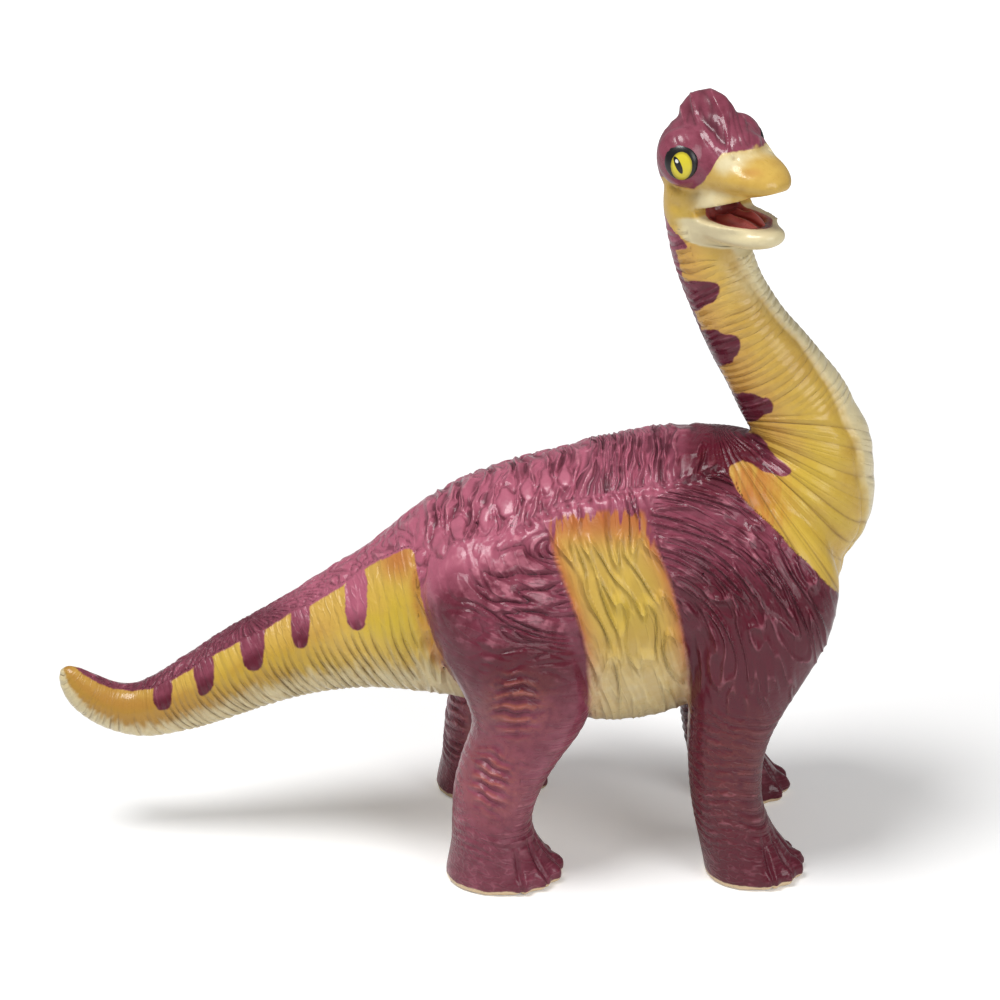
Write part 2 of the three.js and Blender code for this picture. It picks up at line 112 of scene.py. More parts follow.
PALATE_MM = HEAD_LENGTH * np.array([[0.24, 0, -0.24], [0.3, 0.17, 0.13]])
# The gape between the lips runs back to the corners of the mouth.
GAPE_MM = HEAD_LENGTH * np.array([
    [0.04, -0.22, 0.004, 0.5], [0.06, -0.238, 0.024, 0.7], [0.085, -0.252, 0.04, 0.8],
    [0.14, -0.257, 0.049, 0.9], [0.21, -0.259, 0.063, 1], [0.33, -0.257, 0.084, 1],
    [0.43, -0.257, 0.104, 1], [0.65, -0.25, 0.135, 1],
])
SCOOP_MM = HEAD_LENGTH * np.array([[0.2, 0, -0.28], [0.25, 0.165, 0.1]])
BROW_TURN = math.radians(-17)
CHEEK_TURN = math.radians(-8)
EYE_TURN = math.radians(-29)
HEAD_PLACE_MM = np.array([40.12, 0.0, 118.13])
HEAD_YAW = math.radians(-48)
HEAD_PITCH = math.radians(9)

# Heights of the skin run from 0 in a crease to 1 on a fold.
SMOOTH, HEAD_SMOOTH = 0.75, 0.8  # unfolded skin of the body and of the head
LEVEL = 0.6  # what lies on the smooth form: lower skin sinks in, higher skin stands out
MAX_DENT_MM = 0.55
FOLD_MARKS = ("fold", "lift", "turns", "power", "base", "clear", "across", "along", "web")
TRUNK_HEIGHT_MM, TRUNK_RADIUS_MM = 40, 12  # the way round the trunk is counted on this circle
NECK_MIDDLE_MM, NECK_RADIUS_MM, FAN_RADIUS_MM = 40, 8, 15
# Depths that stand for anywhere well inside an area, or outside it.
FAR_MM, OUTSIDE_MM = 9.0, 5.0
SPRAY_SHARE = 0.3  # the flank's depth counts this much, so that its edge blends more softly
BELLY_SHARE = 0.86  # the skull's lower half is this much of its upper half
HIND_STAGGER_MM = 2.2
TOE_RADIUS_MM, TOE_HEIGHT_MM = 2.4, 0.55 * 2.4
TOE_HALVES_MM = TOE_RADIUS_MM * np.array([1.25, 0.74, 1.02])
TOE_INSET_MM, TOE_TURN = 0.75 * TOE_RADIUS_MM, 0.8
TOE_FAN = np.radians([-70, -44, -18, 8, 38])
TONGUE_GROOVE_MM, TONGUE_EDGE_MM, TONGUE_WAVES = 0.7, 1.9, 19
# How many rings and sides each form is drawn with. The head is melted with the neck's rings from
# the start given here up.
BODY_GRID, NECK_GRID, LEG_GRID = (220, 96), (140, 80), (64, 56)
SHELL_GRID, HOLLOW_GRID, GAPE_GRID = (40, 60), (40, 56), (60, 64)
EYE_GRID, TONGUE_GRID = (56, 72), (70, 48)
BODY_SKULL_RINGS, HEAD_SKULL_RINGS, HEAD_NECK_START = 60, 90, 84
# How the borders between mouldings are found: the step for a slope, the least square of a slope
# that a point slides along, and how far it may slide.
SLOPE_STEP_MM, LEAST_SLOPE, MOST_SLIDE_MM = 0.05, 0.05, 0.3

# Joint planes between the mouldings: a point, and the way to the outer piece.
TAIL_JOINT = (np.array([-8.53, 0, 42.0]), np.array([-0.95, 0, -0.3]))
NECK_JOINT = (np.array([56.97, 0, 63.0]), np.array([0.757, 0, 0.651]))
HEAD_JOINT = (np.array([40.47, 0, 108.0]), np.array([0.25, 0, 0.97]))

# Where the reference picture was taken from, in millimetres of the frame, and its scale in pixels.
VIEW_TARGET_MM = np.array([6.6, 0.0, 61.2])
VIEW_DISTANCE_MM = 500.0
VIEW_ELEVATION = math.radians(23.0)
VIEW_REACH_PX = 3050.0
HALF_PX = 500
PX_PER_MM = VIEW_REACH_PX / VIEW_DISTANCE_MM

# Outlines of the brush-painted areas, in pixels of the reference picture.
FLANK_PX = [
    (545, 515), (560, 512), (600, 507), (645, 505), (650, 520), (655, 545), (670, 580),
    (680, 620), (688, 660), (690, 690), (688, 720), (680, 790), (590, 790), (590, 690),
    (587, 650), (578, 620), (565, 585), (553, 555),
]
TAIL_YELLOW_PX = [
    (413, 545), (391, 556), (369, 565), (346, 584), (309, 607), (291, 612), (266, 630),
    (237, 643), (208, 659), (190, 670), (167, 683), (152, 689), (126, 692), (101, 685),
    (82, 674), (72, 664), (55, 668), (40, 700), (60, 780), (300, 780), (500, 740),
    (474, 700), (460, 685), (445, 665), (430, 630), (422, 600), (417, 570),
]
TAIL_DRIPS_PX = [
    [(345, 570), (367, 560), (367, 620), (362, 631), (353, 631), (345, 620)],
    [(291, 600), (309, 590), (310, 635), (306, 648), (296, 649), (291, 638)],
    [(237, 630), (266, 615), (264, 660), (260, 671), (248, 672), (243, 662)],
    [(192, 660), (213, 650), (215, 680), (212, 690), (200, 698), (196, 686)],
    [(152, 680), (172, 672), (172, 705), (165, 711), (154, 709)],
]
NECK_YELLOW_PX = [
    (640, 195), (900, 100), (960, 600), (842, 598), (836, 590), (828, 586), (810, 565),
    (795, 553), (780, 534), (758, 514), (739, 495), (727, 469), (733, 463), (747, 460),
    (741, 447), (741, 430), (718, 395), (700, 350), (682, 310), (668, 262), (655, 235),
]
NECK_PATCHES_PX = [
    [(650, 190), (662, 200), (670, 215), (676, 232), (688, 246), (686, 249), (672, 250),
     (640, 240)],
    [(665, 283), (684, 281), (700, 281), (716, 282), (720, 286), (719, 295), (714, 303), (706, 304),
     (699, 311), (692, 312), (670, 313)],
    [(690, 332), (704, 330), (717, 329), (721, 334), (736, 335), (741, 340), (740, 352), (734, 358),
     (731, 364), (718, 366), (695, 366)],
    [(720, 394), (737, 393), (753, 393), (760, 397), (769, 398), (774, 404), (772, 413), (765, 414),
     (757, 421), (748, 422), (725, 420)],
    [(735, 430), (748, 432), (760, 435), (766, 442), (772, 452), (778, 459), (790, 467), (792, 473),
     (782, 478), (774, 474), (764, 472), (751, 463), (740, 460)],
]
# Regions of folds: the row of dimples under the ridge of the back, shoulder and thigh, and the
# hubs that the folds of shoulder, thigh and neck sweep round.
DIMPLES_PX = [
    (250, 680), (340, 630), (420, 592), (470, 562), (520, 532), (540, 517), (560, 507),
    (600, 498), (650, 489), (690, 482), (722, 468),
]
DIMPLE_PITCH_PX = 11
SHOULDER_PX = [
    (648, 500), (672, 486), (700, 476), (728, 467), (739, 495), (758, 514), (795, 553),
    (838, 592), (840, 630), (812, 690), (690, 700), (683, 620), (672, 580), (656, 545),
]
THIGH_PX = [
    (413, 548), (440, 540), (480, 540), (520, 530), (548, 522), (565, 585), (578, 620),
    (587, 650), (590, 700), (560, 760), (480, 760), (472, 700), (445, 665), (430, 630),
    (420, 590),
]
SHOULDER_HUB_PX, THIGH_HUB_PX, CROOK_PX = (620, 655), (560, 548), (712, 418)
# Soft spots of folds and paint, in pixels: centre, half width and half height, and in the tables
# of several spots also the strength.
THIGH_SPOT_PX = (524, 598, 54, 70)
THROAT_SPOT_PX = (775, 268, 45, 40)
SHOULDER_BLUSH_PX, HIP_BLUSH_PX = (757, 500, 40, 46), (398, 560, 26, 30)
SNOUT_BLUSH_PX, SNOUT_DENT_PX = (753, 173, 15, 7), (753, 172, 12, 6)
KNEE_SPOTS_PX = [(516, 704, 25, 38, 1), (492, 782, 21, 38, 0.95)]
RUB_SPOTS_PX = [(516, 708, 30, 28, 1), (735, 760, 40, 60, 0.25), (492, 780, 28, 34, 0.8)]
GREEN_SPOTS_PX = [
    (392, 622, 46, 40, 1), (628, 612, 40, 40, 0.6), (820, 500, 60, 95, 0.75),
    (260, 668, 130, 30, 0.6),
]
# Spots of painted shade on the withers, the low thigh and the hip, with one faint spot of painted
# light.
PAINTED_SHADE_SPOTS_PX = [
    (712, 456, 50, 34, -0.5), (520, 668, 60, 28, -0.3), (704, 522, 34, 24, 0.05),
    (446, 602, 32, 60, -0.3), (535, 668, 50, 30, -0.2),
]
# The head's own paint, in its own millimetres: where the jaw ends and the neck begins, and the
# lower edge of the plum, as places ahead and their heights.
JAWLINE_MM = ([-6, -4, -1, 3, 6], [-6.5, -8.5, -10.9, -12.4, -13.5])
EYELINE_MM = (
    [-9, -5, -3, -1, 1.6, 4, 5.6, 6.4, 6.9, 12],
    [-1.5, -0.8, -1.2, -2.0, -2.3, -1.0, 0.7, 2.2, 3.3, 3.3],
)
EDGE_MM, SOLE_EDGE_MM = 0.16, 0.12  # half the width over which two paints meet
# The eye as the picture shows it: its middle in pixels, then ovals in millimetres from there:
# place across and up, half width, half height and lean.
EYE_MIDDLE_PX = (681.5, 166.0)
IRIS_MM = (0.0, 0.0, 1.75, 2.3, 0.0)
SLIT_MM = (-0.55, 0.15, 0.5, 1.55, 0.42)
GLINT_MM = (-0.78, 0.78, 0.24, 0.34, 0.42)
EYE_BLACK, GLINT_WHITE = (0.006, 0.005, 0.006, 1.0), (0.85, 0.85, 0.82, 1.0)
# Oval scutes over the hip: centre, half width and half height, in pixels.
SCUTES_PX = [
    (506, 503, 10, 18), (458, 527, 9, 14), (439, 541, 8, 15), (484, 519, 7, 14),
    (527, 490, 8, 14), (546, 482, 8, 14), (565, 478, 8, 13), (420, 557, 6, 11),
]
# The edge of the pale band up the throat: height, then half width, in millimetres.
THROAT_MM = np.array([
    [48, 2.0], [56, 3.6], [62, 5.2], [68, 6.0], [76, 5.4], [83, 4.1], [90, 2.8], [99, 3.3],
    [105, 4.4], [112, 6.5],
])
# The stage, in metres: the floor's reach, cells a side, place below the soles and the span over
# which it fades to white, the lamps' aim, each lamp's place and size, and the camera's clipping.
FLOOR_REACH, FLOOR_CELLS, FLOOR_DROP, FLOOR_FADE = 3.0, 12, 0.00005, (0.10, 0.45)
LAMP_AIM = (0.005, 0, 0.06)
LAMPS = {"key": ((-0.22, -0.14, 0.70), 0.34), "fill": ((0.42, -0.45, 0.34), 0.40)}
SENSOR_MM, CLIP = 36.0, (0.01, 20.0)


def linear(red, green, blue):
    """A colour as read off a picture, from 0 to 255, in the linear light that the shaders use."""
    share = np.array([red, green, blue]) / 255
    low, high = share / 12.92, ((share + 0.055) / 1.055) ** 2.4
    return tuple(np.where(share <= 0.04045, low, high).tolist())


def ease(value, low, high):
    """0 below low, 1 above high, and the cubic 3t^2 - 2t^3 between; low may be above high."""
    share = np.clip((value - low) / (high - low), 0, 1)
    return share * share * (3 - 2 * share)


def along(rows, places):
    """A cubic through the rows whose slope at each row is half the step between its neighbours,
    read at places from 0, the first row, to 1, the last."""
    rows = np.vstack([2 * rows[0] - rows[1], rows, 2 * rows[-1] - rows[-2]])
    place = np.clip(places, 0, 1) * (len(rows) - 3)
    span = np.minimum(place.astype(int), len(rows) - 4)
    step = (place - span)[:, None]
    before, start, end, after = (rows[span + reach] for reach in range(4))
    return 0.5 * (
        2 * start
        + (end - before) * step
        + (2 * before - 5 * start + 4 * end - after) * step**2
        + (3 * start - before - 3 * end + after) * step**3
    )


def carried(rows, rings, sides, level=False, belly=1.0):
    """An oval carried along the spine of a table. Ring r lies square to the spine, or level:
    centre + cos(a) * half width across + sin(a) * half height upward, with a going once round."""
    x, z, half, width, *out = along(rows, np.linspace(0, 1, rings)).T
    out = out[0] if out else np.zeros(rings)
    run, rise = np.gradient(x), np.gradient(z)
    reach = np.hypot(run, rise)
    run, rise = (0 * x, 0 * x - 1) if level else (run / reach, rise / reach)
    angle = np.arange(sides) / sides * 2 * math.pi
    over, up = np.cos(angle), np.sin(angle) * np.where(np.sin(angle) < 0, belly, 1)
    lift = half[:, None] * up
    return np.stack(
        [
            x[:, None] - rise[:, None] * lift,
            out[:, None] + width[:, None] * over,
            z[:, None] + run[:, None] * lift,
        ],
        axis=-1,
    )


def egg(centre, halves, turn=0.0, rings=20, sides=28):
    """An egg-shaped bump: halves times the unit ball (sin b cos a, sin b sin a, cos b), with b from
    pole to pole and a once round, turned about z and set on its centre."""
    polar = np.linspace(0.06, math.pi - 0.06, rings)[:, None]
    angle = (np.arange(sides) / sides * 2 * math.pi)[None, :]
    ball = np.stack(
        [np.sin(polar) * np.cos(angle), np.sin(polar) * np.sin(angle), np.cos(polar) + 0 * angle],
        axis=-1,
    )
    points = ball * halves
    cos, sin = math.cos(turn), math.sin(turn)
    turned = points @ np.array([[cos, sin, 0], [-sin, cos, 0], [0, 0, 1]])
    return turned + centre


def woven(rings, sides):
    """Faces of a grid that closes round: each joins a point, the next one round, and the same two
    on the next ring."""
    ring, side = np.meshgrid(np.arange(rings - 1), np.arange(sides), indexing="ij")
    here, beside = ring * sides + side, ring * sides + (side + 1) % sides
    return np.stack([here, here + sides, beside + sides, beside], axis=-1).reshape(-1, 4)


def mesh_of(name, points, faces):
    """A mesh from points in metres and lists of faces."""
    mesh = bpy.data.meshes.new(name)
    mesh.from_pydata(points.tolist(), [], faces)
    mesh.update()
    return mesh


def closed(grids):
    """Grids of rings as closed shells in one list of points and one of faces, with a flat lid on
    the first and the last ring of each. A grid whose faces would look inwards is taken from its
    other end."""
    points, faces, count = [], [], 0
    for grid in grids:
        rings, sides = grid.shape[:2]
        lids = grid[[0, -1]].mean(axis=1)
        ahead, behind = grid[1:], grid[:-1]
        turned = np.cross(np.roll(behind, -1, axis=1) - behind, ahead - behind)
        if ((behind - lids.mean(axis=0)) * turned).sum() > 0:
            grid = grid[::-1]
        points.append(grid.reshape(-1, 3))
        faces += (woven(rings, sides) + count).tolist()
        faces.append((np.arange(sides) + count).tolist())
        faces.append((np.arange(sides)[::-1] + count + (rings - 1) * sides).tolist())
        count += rings * sides
    return np.vstack(points), faces


def scratch(name, grids):
    """A throwaway object in the scene that holds closed shells, one unit to the millimetre."""
    thing = bpy.data.objects.new(name, mesh_of(name, *closed(grids)))
    bpy.context.scene.collection.objects.link(thing)
    return thing


def melt(name, grids, grain, passes, hollows=()):
    """Closed shells run together into one skin of square cells: what they fill is cut into cubes of
    one grain, hollows are taken out, the skin of the rest is eased so that the shells flow into
    each other, and every cell is split in four. Points are in millimetres."""
    solid = scratch(name, grids)
    made = [solid]

    def add(kind, **settings):
        """Adds a modifier with its settings to the solid."""
        modifier = solid.modifiers.new(kind, kind)
        for key, value in settings.items():
            setattr(modifier, key, value)

    add("REMESH", mode="VOXEL", voxel_size=grain)
    if hollows:
        for hollow in hollows:
            made.append(scratch(name + "_hollow", [hollow]))
            add("BOOLEAN", operation="DIFFERENCE", object=made[-1], solver="EXACT")
        add("REMESH", mode="VOXEL", voxel_size=grain)
    add("SMOOTH", factor=0.5, iterations=passes)
    add("SUBSURF", levels=1, render_levels=1)
    mesh = solid.evaluated_get(bpy.context.evaluated_depsgraph_get()).to_mesh()
    points = np.empty(len(mesh.vertices) * 3)
    mesh.vertices.foreach_get("co", points)
    corners = np.empty(len(mesh.loops), dtype=int)
    mesh.loops.foreach_get("vertex_index", corners)
    if len(corners) != 4 * len(mesh.polygons):
        raise RuntimeError(f"the skin {name} isn't all four-sided cells")
    for thing in made:
        bpy.data.objects.remove(thing)
    return points.reshape(-1, 3), corners.reshape(-1, 4)


def facing(points, cells):
    """The outward direction at each point: the mean of its cells' normals by area, each half the
    cross product of the cell's diagonals."""
    a, b, c, d = (points[cells[:, corner]] for corner in range(4))
    normal = np.cross(c - a, d - b)
    total = np.zeros_like(points)
    for corner in range(4):
        for axis in range(3):
            total[:, axis] += np.bincount(cells[:, corner], normal[:, axis], len(points))
    return total / np.maximum(np.linalg.norm(total, axis=1, keepdims=True), 1e-9)


def outward(points, cells):
    """The cells, turned over if they enclose a negative volume."""
    a, b, c, d = (points[cells[:, corner]] for corner in range(4))
    volume = np.einsum("ij,ij->i", a, np.cross(b, c)) + np.einsum("ij,ij->i", a, np.cross(c, d))
    return cells if volume.sum() > 0 else cells[:, ::-1]


def scatter(column, row, seed):
    """A number from 0 to 1 for each square of a lattice, the same every run, by mixing the bits of
    its column, row and seed."""
    mixed = (
        column.astype(np.int64) * 374761393 + row.astype(np.int64) * 668265263 + seed * 974711
    ) & 0xFFFFFFFF
    mixed = ((mixed ^ (mixed >> 13)) * 1274126177) & 0xFFFFFFFF
    return ((mixed ^ (mixed >> 16)) & 0xFFFFFF) / 0xFFFFFF


def drift(u, v, seed):
    """A smooth wander from about -1 to 1: each lattice corner slopes its own way, and the slopes
    are blended across the square by the quintic 6t^5 - 15t^4 + 10t^3."""
    column, row = np.floor(u), np.floor(v)
    u, v = u - column, v - row
    blend_u, blend_v = (t**3 * (t * (6 * t - 15) + 10) for t in (u, v))

    def corner(right, up):
        """What a corner's slope gives at each place."""
        angle = 2 * math.pi * scatter(column + right, row + up, seed)
        return np.cos(angle) * (u - right) + np.sin(angle) * (v - up)

    low = corner(0, 0) * (1 - blend_u) + corner(1, 0) * blend_u
    high = corner(0, 1) * (1 - blend_u) + corner(1, 1) * blend_u
    return 1.5 * (low * (1 - blend_v) + high * blend_v)


def crest(turns, power):
    """How far up its fold a place lies: 1 where the turns are whole and 0 half way between, as a
    straight slope raised to a power."""
    return (1 - 2 * np.abs(turns - np.round(turns))) ** power


def folded(turns, power, base=0.0, clear=1.0):
    """A set of folds for lay: the height, from the base in a crease to 1 on a fold, drawn towards
    smooth skin where it isn't clear, and what the paint needs to draw the same crest sharply."""
    sharp = base + (1 - base) * crest(turns, power)
    height = SMOOTH + (sharp - SMOOTH) * clear
    return {"fold": height, "turns": turns, "power": power, "base": base, "clear": clear}


def wrinkles(phase, run, pitch, reach, seed, steep=2.6, power=0.7):
    """Branching creases between round folds: a crease lies where a drift is 0 that is stretched to
    reach along the folds and to pitch across them, made steep."""
    bend = 0.8 * drift(phase / (3 * pitch), run / (1.6 * reach), seed + 1)
    wave = drift(phase / pitch + bend, run / reach, seed)
    return folded(0.5 + np.clip(0.5 * steep * wave, -0.5, 0.5), power)


def strands(phase, run, pitch, reach, seed, base=0.3):
    """Thin raised strands that branch and meet where such a drift is 0, over smooth skin."""
    bend = 0.9 * drift(phase / (3 * pitch), run / (1.4 * reach), seed + 1)
    wave = drift(phase / pitch + bend, run / reach, seed)
    return folded(np.clip(1.6 * wave, -0.5, 0.5), 1.25, base)


def ribs(phase, run, pitch, seed, depth=1.0, power=0.55):
    """Even folds one pitch apart that waver and fade here and there."""
    turns = phase / pitch + 0.7 * drift(phase / (4 * pitch), run / 7, seed) + 0.5
    fade = depth * np.clip(0.75 + 0.9 * drift(phase / (1.7 * pitch), run / 4.5, seed + 9), 0.15, 1)
    return folded(turns, power, 0.0, fade)


def lay(skin, weight, depth, folds, grid=(0.0, 0.0), web=1.0):
    """Lays a region's folds over the skin by a weight from 0 to 1. Height and depth blend in; where
    the weight passes a half, the crest's turns and the grid of its fine web take over, and near
    that change they are kept faint. The web's lines stand out above 0 and sink in below."""
    skin["fold"] = skin["fold"] + (folds["fold"] - skin["fold"]) * weight
    skin["lift"] = skin["lift"] + (depth - skin["lift"]) * weight
    own, calm = weight > 0.5, ease(np.abs(weight - 0.5), 0.08, 0.3)
    for key, value in (folds | {"across": grid[0], "along": grid[1], "web": web}).items():
        if key != "fold":
            skin[key] = np.where(own, value, skin[key])
    skin["clear"], skin["web"] = skin["clear"] * calm, skin["web"] * calm


def on_picture(points):
    """Where points of the near side fall on the reference picture, in its pixels; points of the far
    side are mirrored first, so both sides are painted alike."""
    near = points.copy()
    near[:, 1] = -np.abs(near[:, 1])
    return picture(near)


def picture(points):
    """Each point's place in pixels: its offset across and up from the target, times the reach,
    over its distance from the eye along the view."""
    cos, sin = math.cos(VIEW_ELEVATION), math.sin(VIEW_ELEVATION)
    x, y, z = (points - VIEW_TARGET_MM).T
    depth = VIEW_DISTANCE_MM + y * cos - z * sin
    across, up = VIEW_REACH_PX * x / depth, VIEW_REACH_PX * (y * sin + z * cos) / depth
    return HALF_PX + across, HALF_PX - up


def rounded(outline, times=2):
    """An outline with its corners cut: each edge gives the points a quarter and three quarters
    along it, time after time."""
    corners = np.array(outline, dtype=float)
    for _ in range(times):
        ahead = np.roll(corners, -1, axis=0)
        corners = np.stack([0.75 * corners + 0.25 * ahead, 0.25 * corners + 0.75 * ahead], axis=1)
        corners = corners.reshape(-1, 2)
    return corners


def depth_in(outline, u, v):
    """How far inside an outline each place lies, in millimetres and negative outside: the distance
    to the nearest edge, its sign by how often a line to the right crosses the outline."""
    corners = rounded(outline)
    nearest, inside = np.full(u.shape, 1e9), np.zeros(u.shape, dtype=bool)
    for (x1, y1), (x2, y2) in zip(corners, np.roll(corners, -1, axis=0)):
        ex, ey = x2 - x1, y2 - y1
        share = np.clip(((u - x1) * ex + (v - y1) * ey) / (ex * ex + ey * ey), 0, 1)
        nearest = np.minimum(nearest, (u - x1 - share * ex) ** 2 + (v - y1 - share * ey) ** 2)
        crosses = (v < y1) != (v < y2)
        at = x1 + (v - y1) * ex / (ey if ey else 1e-9)
        inside ^= crosses & (u < at)
    return np.sqrt(nearest) / PX_PER_MM * np.where(inside, 1, -1)


def beside_line(line, u, v):
    """The distance from an open line of picture points, positive above it, and the run along it."""
    line = np.array(line, dtype=float)
    best, run, side, done = np.full(u.shape, 1e9), np.zeros(u.shape), np.ones(u.shape), 0.0
    for (x1, y1), (x2, y2) in zip(line[:-1], line[1:]):
        ex, ey = x2 - x1, y2 - y1
        length = math.hypot(ex, ey)
        share = np.clip(((u - x1) * ex + (v - y1) * ey) / length**2, 0, 1)
        away = np.hypot(u - x1 - share * ex, v - y1 - share * ey)
        closer = away < best
        best = np.where(closer, away, best)
        run = np.where(closer, done + share * length, run)
        side = np.where(closer, np.sign(ex * (v - y1) - ey * (u - x1)), side)
        done += length
    return -side * best, run


def headed(points):
    """Points of the head's own frame in the figure's: tipped up by the pitch, turned by the yaw and
    moved to the head's place."""
    return points @ HEAD_TURN.T + HEAD_PLACE_MM


def unheaded(points):
    """The figure's points in the head's own frame."""
    return (points - HEAD_PLACE_MM) @ HEAD_TURN


def turn_of_head():
    """The rotation about z by the yaw after the one about y that lifts the snout by the pitch."""
    c, s = math.cos(HEAD_YAW), math.sin(HEAD_YAW)
    p, q = math.cos(HEAD_PITCH), math.sin(HEAD_PITCH)
    yaw, pitch = [[c, -s, 0], [s, c, 0], [0, 0, 1]], [[p, 0, -q], [0, 1, 0], [q, 0, p]]
    return np.array(yaw) @ np.array(pitch)


HEAD_TURN = turn_of_head()


def leg_rows(rows, side):
    """A leg's sections on its own side; the left hind foot stands a little behind the right one,
    from the fourth section, at mid thigh, downwards."""
    rows = rows * np.array([1, 1, 1, 1, side])
    if side > 0 and rows[0, 0] < HIND_LEG_MM[0, 0] + 1:
        rows[:, 0] -= HIND_STAGGER_MM * (1 - ease(rows[:, 1], 0, rows[3, 1]))
    return rows


LEGS = {
    "hind_leg_left": leg_rows(HIND_LEG_MM, 1),
    "hind_leg_right": leg_rows(HIND_LEG_MM, -1),
    "front_leg_left": leg_rows(FRONT_LEG_MM, 1),
    "front_leg_right": leg_rows(FRONT_LEG_MM, -1),
}


def head_grids(rings):
    """The shapes of the head that the neck melts into: skull, jaw, cheeks and jowls."""
    local = [carried(SKULL_MM, rings, rings, belly=BELLY_SHARE), carried(JAW_MM, rings, rings)]
    for side in (-1, 1):
        flip = np.array([1, side, 1])
        local.append(egg(CHEEK_MM[0] * flip, CHEEK_MM[1], CHEEK_TURN * side, *SHELL_GRID))
        local.append(egg(JOWL_MM[0] * flip, JOWL_MM[1], 0.0, *SHELL_GRID))
    return [headed(grid) for grid in local]


def leg_grids(rows):
    """An oval column on level sections, and five toes fanned round the front of its foot, cut off
    flat at the sole."""
    x, _, half, across, out = rows[-1]
    side = math.copysign(1, out)
    grids = [carried(rows, *LEG_GRID, level=True)]
    for fan in TOE_FAN:
        centre = np.array([
            x + math.cos(fan) * (half - TOE_HEIGHT_MM),
            out - side * math.sin(fan) * (across - TOE_INSET_MM),
            TOE_HEIGHT_MM,
        ])
        toe = egg(centre, TOE_HALVES_MM, -side * fan * TOE_TURN)
        toe[..., 2] = np.maximum(toe[..., 2], 0)
        grids.append(toe)
    return grids


def leg_depth(rows, points):
    """How far inside a leg's skin points lie, in millimetres: 1 less the reach over the oval
    section at their height, times its smaller half; the whole foot counts as inside."""
    table = along(rows, np.linspace(0, 1, 240))[::-1]
    x, half, width, out = (np.interp(points[:, 2], table[:, 1], table[:, k]) for k in (0, 2, 3, 4))
    reach = np.hypot((points[:, 0] - x) / half, (points[:, 1] - out) / width)
    depth = (1 - reach) * np.minimum(half, width) + 0.9
    depth = np.minimum(depth, rows[0, 1] + 0.5 - points[:, 2])
    near = (points[:, 0] > -15) & (np.abs(points[:, 0] - rows[3, 0]) < 20)
    foot = near & (points[:, 1] * out > 0)
    return np.where(foot, np.maximum(depth, 20.5 - points[:, 2]), depth)


def beyond(joint, points):
    """How far points lie beyond a joint plane, on the outer piece's side, in millimetres."""
    place, way = joint
    return (points - place) @ (way / np.linalg.norm(way))


def jaw_depth(points):
    """How far inside the lower jaw points lie, in millimetres: below the gape, ahead of the corners
    of the mouth and above the underside of the jaw's oval."""
    x, y, z = unheaded(points).T
    table = along(JAW_MM, np.linspace(0, 1, 120))
    centre, half, width = (np.interp(x, table[:, 0], table[:, k]) for k in (1, 2, 3))
    below = np.minimum(z - centre, 0)
    depth = (1 - np.hypot(y / (width + 1.2), below / (half + 0.4))) * half
    gape = np.interp(x, GAPE_MM[:, 0], GAPE_MM[:, 1])
    return np.minimum(np.minimum(depth, x - 1.3), gape - z)


def egg_depth(shape, points):
    """How far inside an egg of the head points lie, in millimetres."""
    centre, halves = shape
    return (1 - np.linalg.norm((points - centre) / halves, axis=1)) * halves.min()


def spine(rows, axis):
    """A table's spine as its place along one axis, the other one, the way run, and the direction's
    part along the other axis, in the order that its own axis rises."""
    path = along(rows, np.linspace(0, 1, 400))[:, :2]
    step = np.diff(path, axis=0)
    way = np.concatenate([[0], np.cumsum(np.hypot(*step.T))])
    lean = np.gradient(path[:, 1 - axis], way)
    order = np.argsort(path[:, axis])
    return path[order, axis], path[order, 1 - axis], way[order], lean[order]


def ring_place(rows, points, axis):
    """Where points lie along a spine, in millimetres: the way run at the same place on its axis,
    plus the offset from the spine times its lean; and the offset itself."""
    at, other, way, lean = spine(rows, axis)
    own, off = points[:, 0 if axis == 0 else 2], points[:, 2 if axis == 0 else 0]
    offset = off - np.interp(own, at, other)
    return np.interp(own, at, way) + offset * np.interp(own, at, lean), offset


def tail_phase(way):
    """How many rings lie behind a place along the body's spine: the sum of 1 over the pitch, which
    grows with the tail's thickness, from the tip on."""
    table = along(BODY_MM, np.linspace(0, 1, 400))
    run = np.concatenate([[0], np.cumsum(np.hypot(*np.diff(table[:, :2], axis=0).T))])
    pitch = 1.0 + 0.045 * np.clip(table[:, 2], 3, 13)
    return np.interp(way, run, np.concatenate([[0], np.cumsum(np.diff(run) / pitch[1:])]))


def keel_of(points, normals):
    """How much each point lies on the throat's front, from 0 to 1, and how far inside the pale band
    of its keel, in millimetres."""
    z = points[:, 2]
    throat = np.interp(z, THROAT_MM[:, 0], THROAT_MM[:, 1])
    return ease(normals[:, 0], 0.0, 0.45) * ease(z, 46, 56), throat - np.abs(points[:, 1])


def toe_grooves(points):
    """The grooves between the toes, 0 to 1: fine wedges midway between their bearings, seen from
    the middle of the foot, that fade up the ankle."""
    total = np.zeros(len(points))
    for rows in LEGS.values():
        x, _, _, _, out = rows[-1]
        side = math.copysign(1, out)
        ahead, aside = points[:, 0] - x + 1.5, -side * (points[:, 1] - out)
        bearing, reach = np.arctan2(aside, ahead), np.hypot(ahead, aside)
        near = ease(reach, 3.5, 5.5) * ease(reach, 14, 12) * ease(points[:, 2], 10.5, 4.5)
        for middle in (TOE_FAN[1:] + TOE_FAN[:-1]) / 2:
            total = np.maximum(total, np.exp(-(((bearing - middle) * reach / 0.45) ** 2)) * near)
    return total


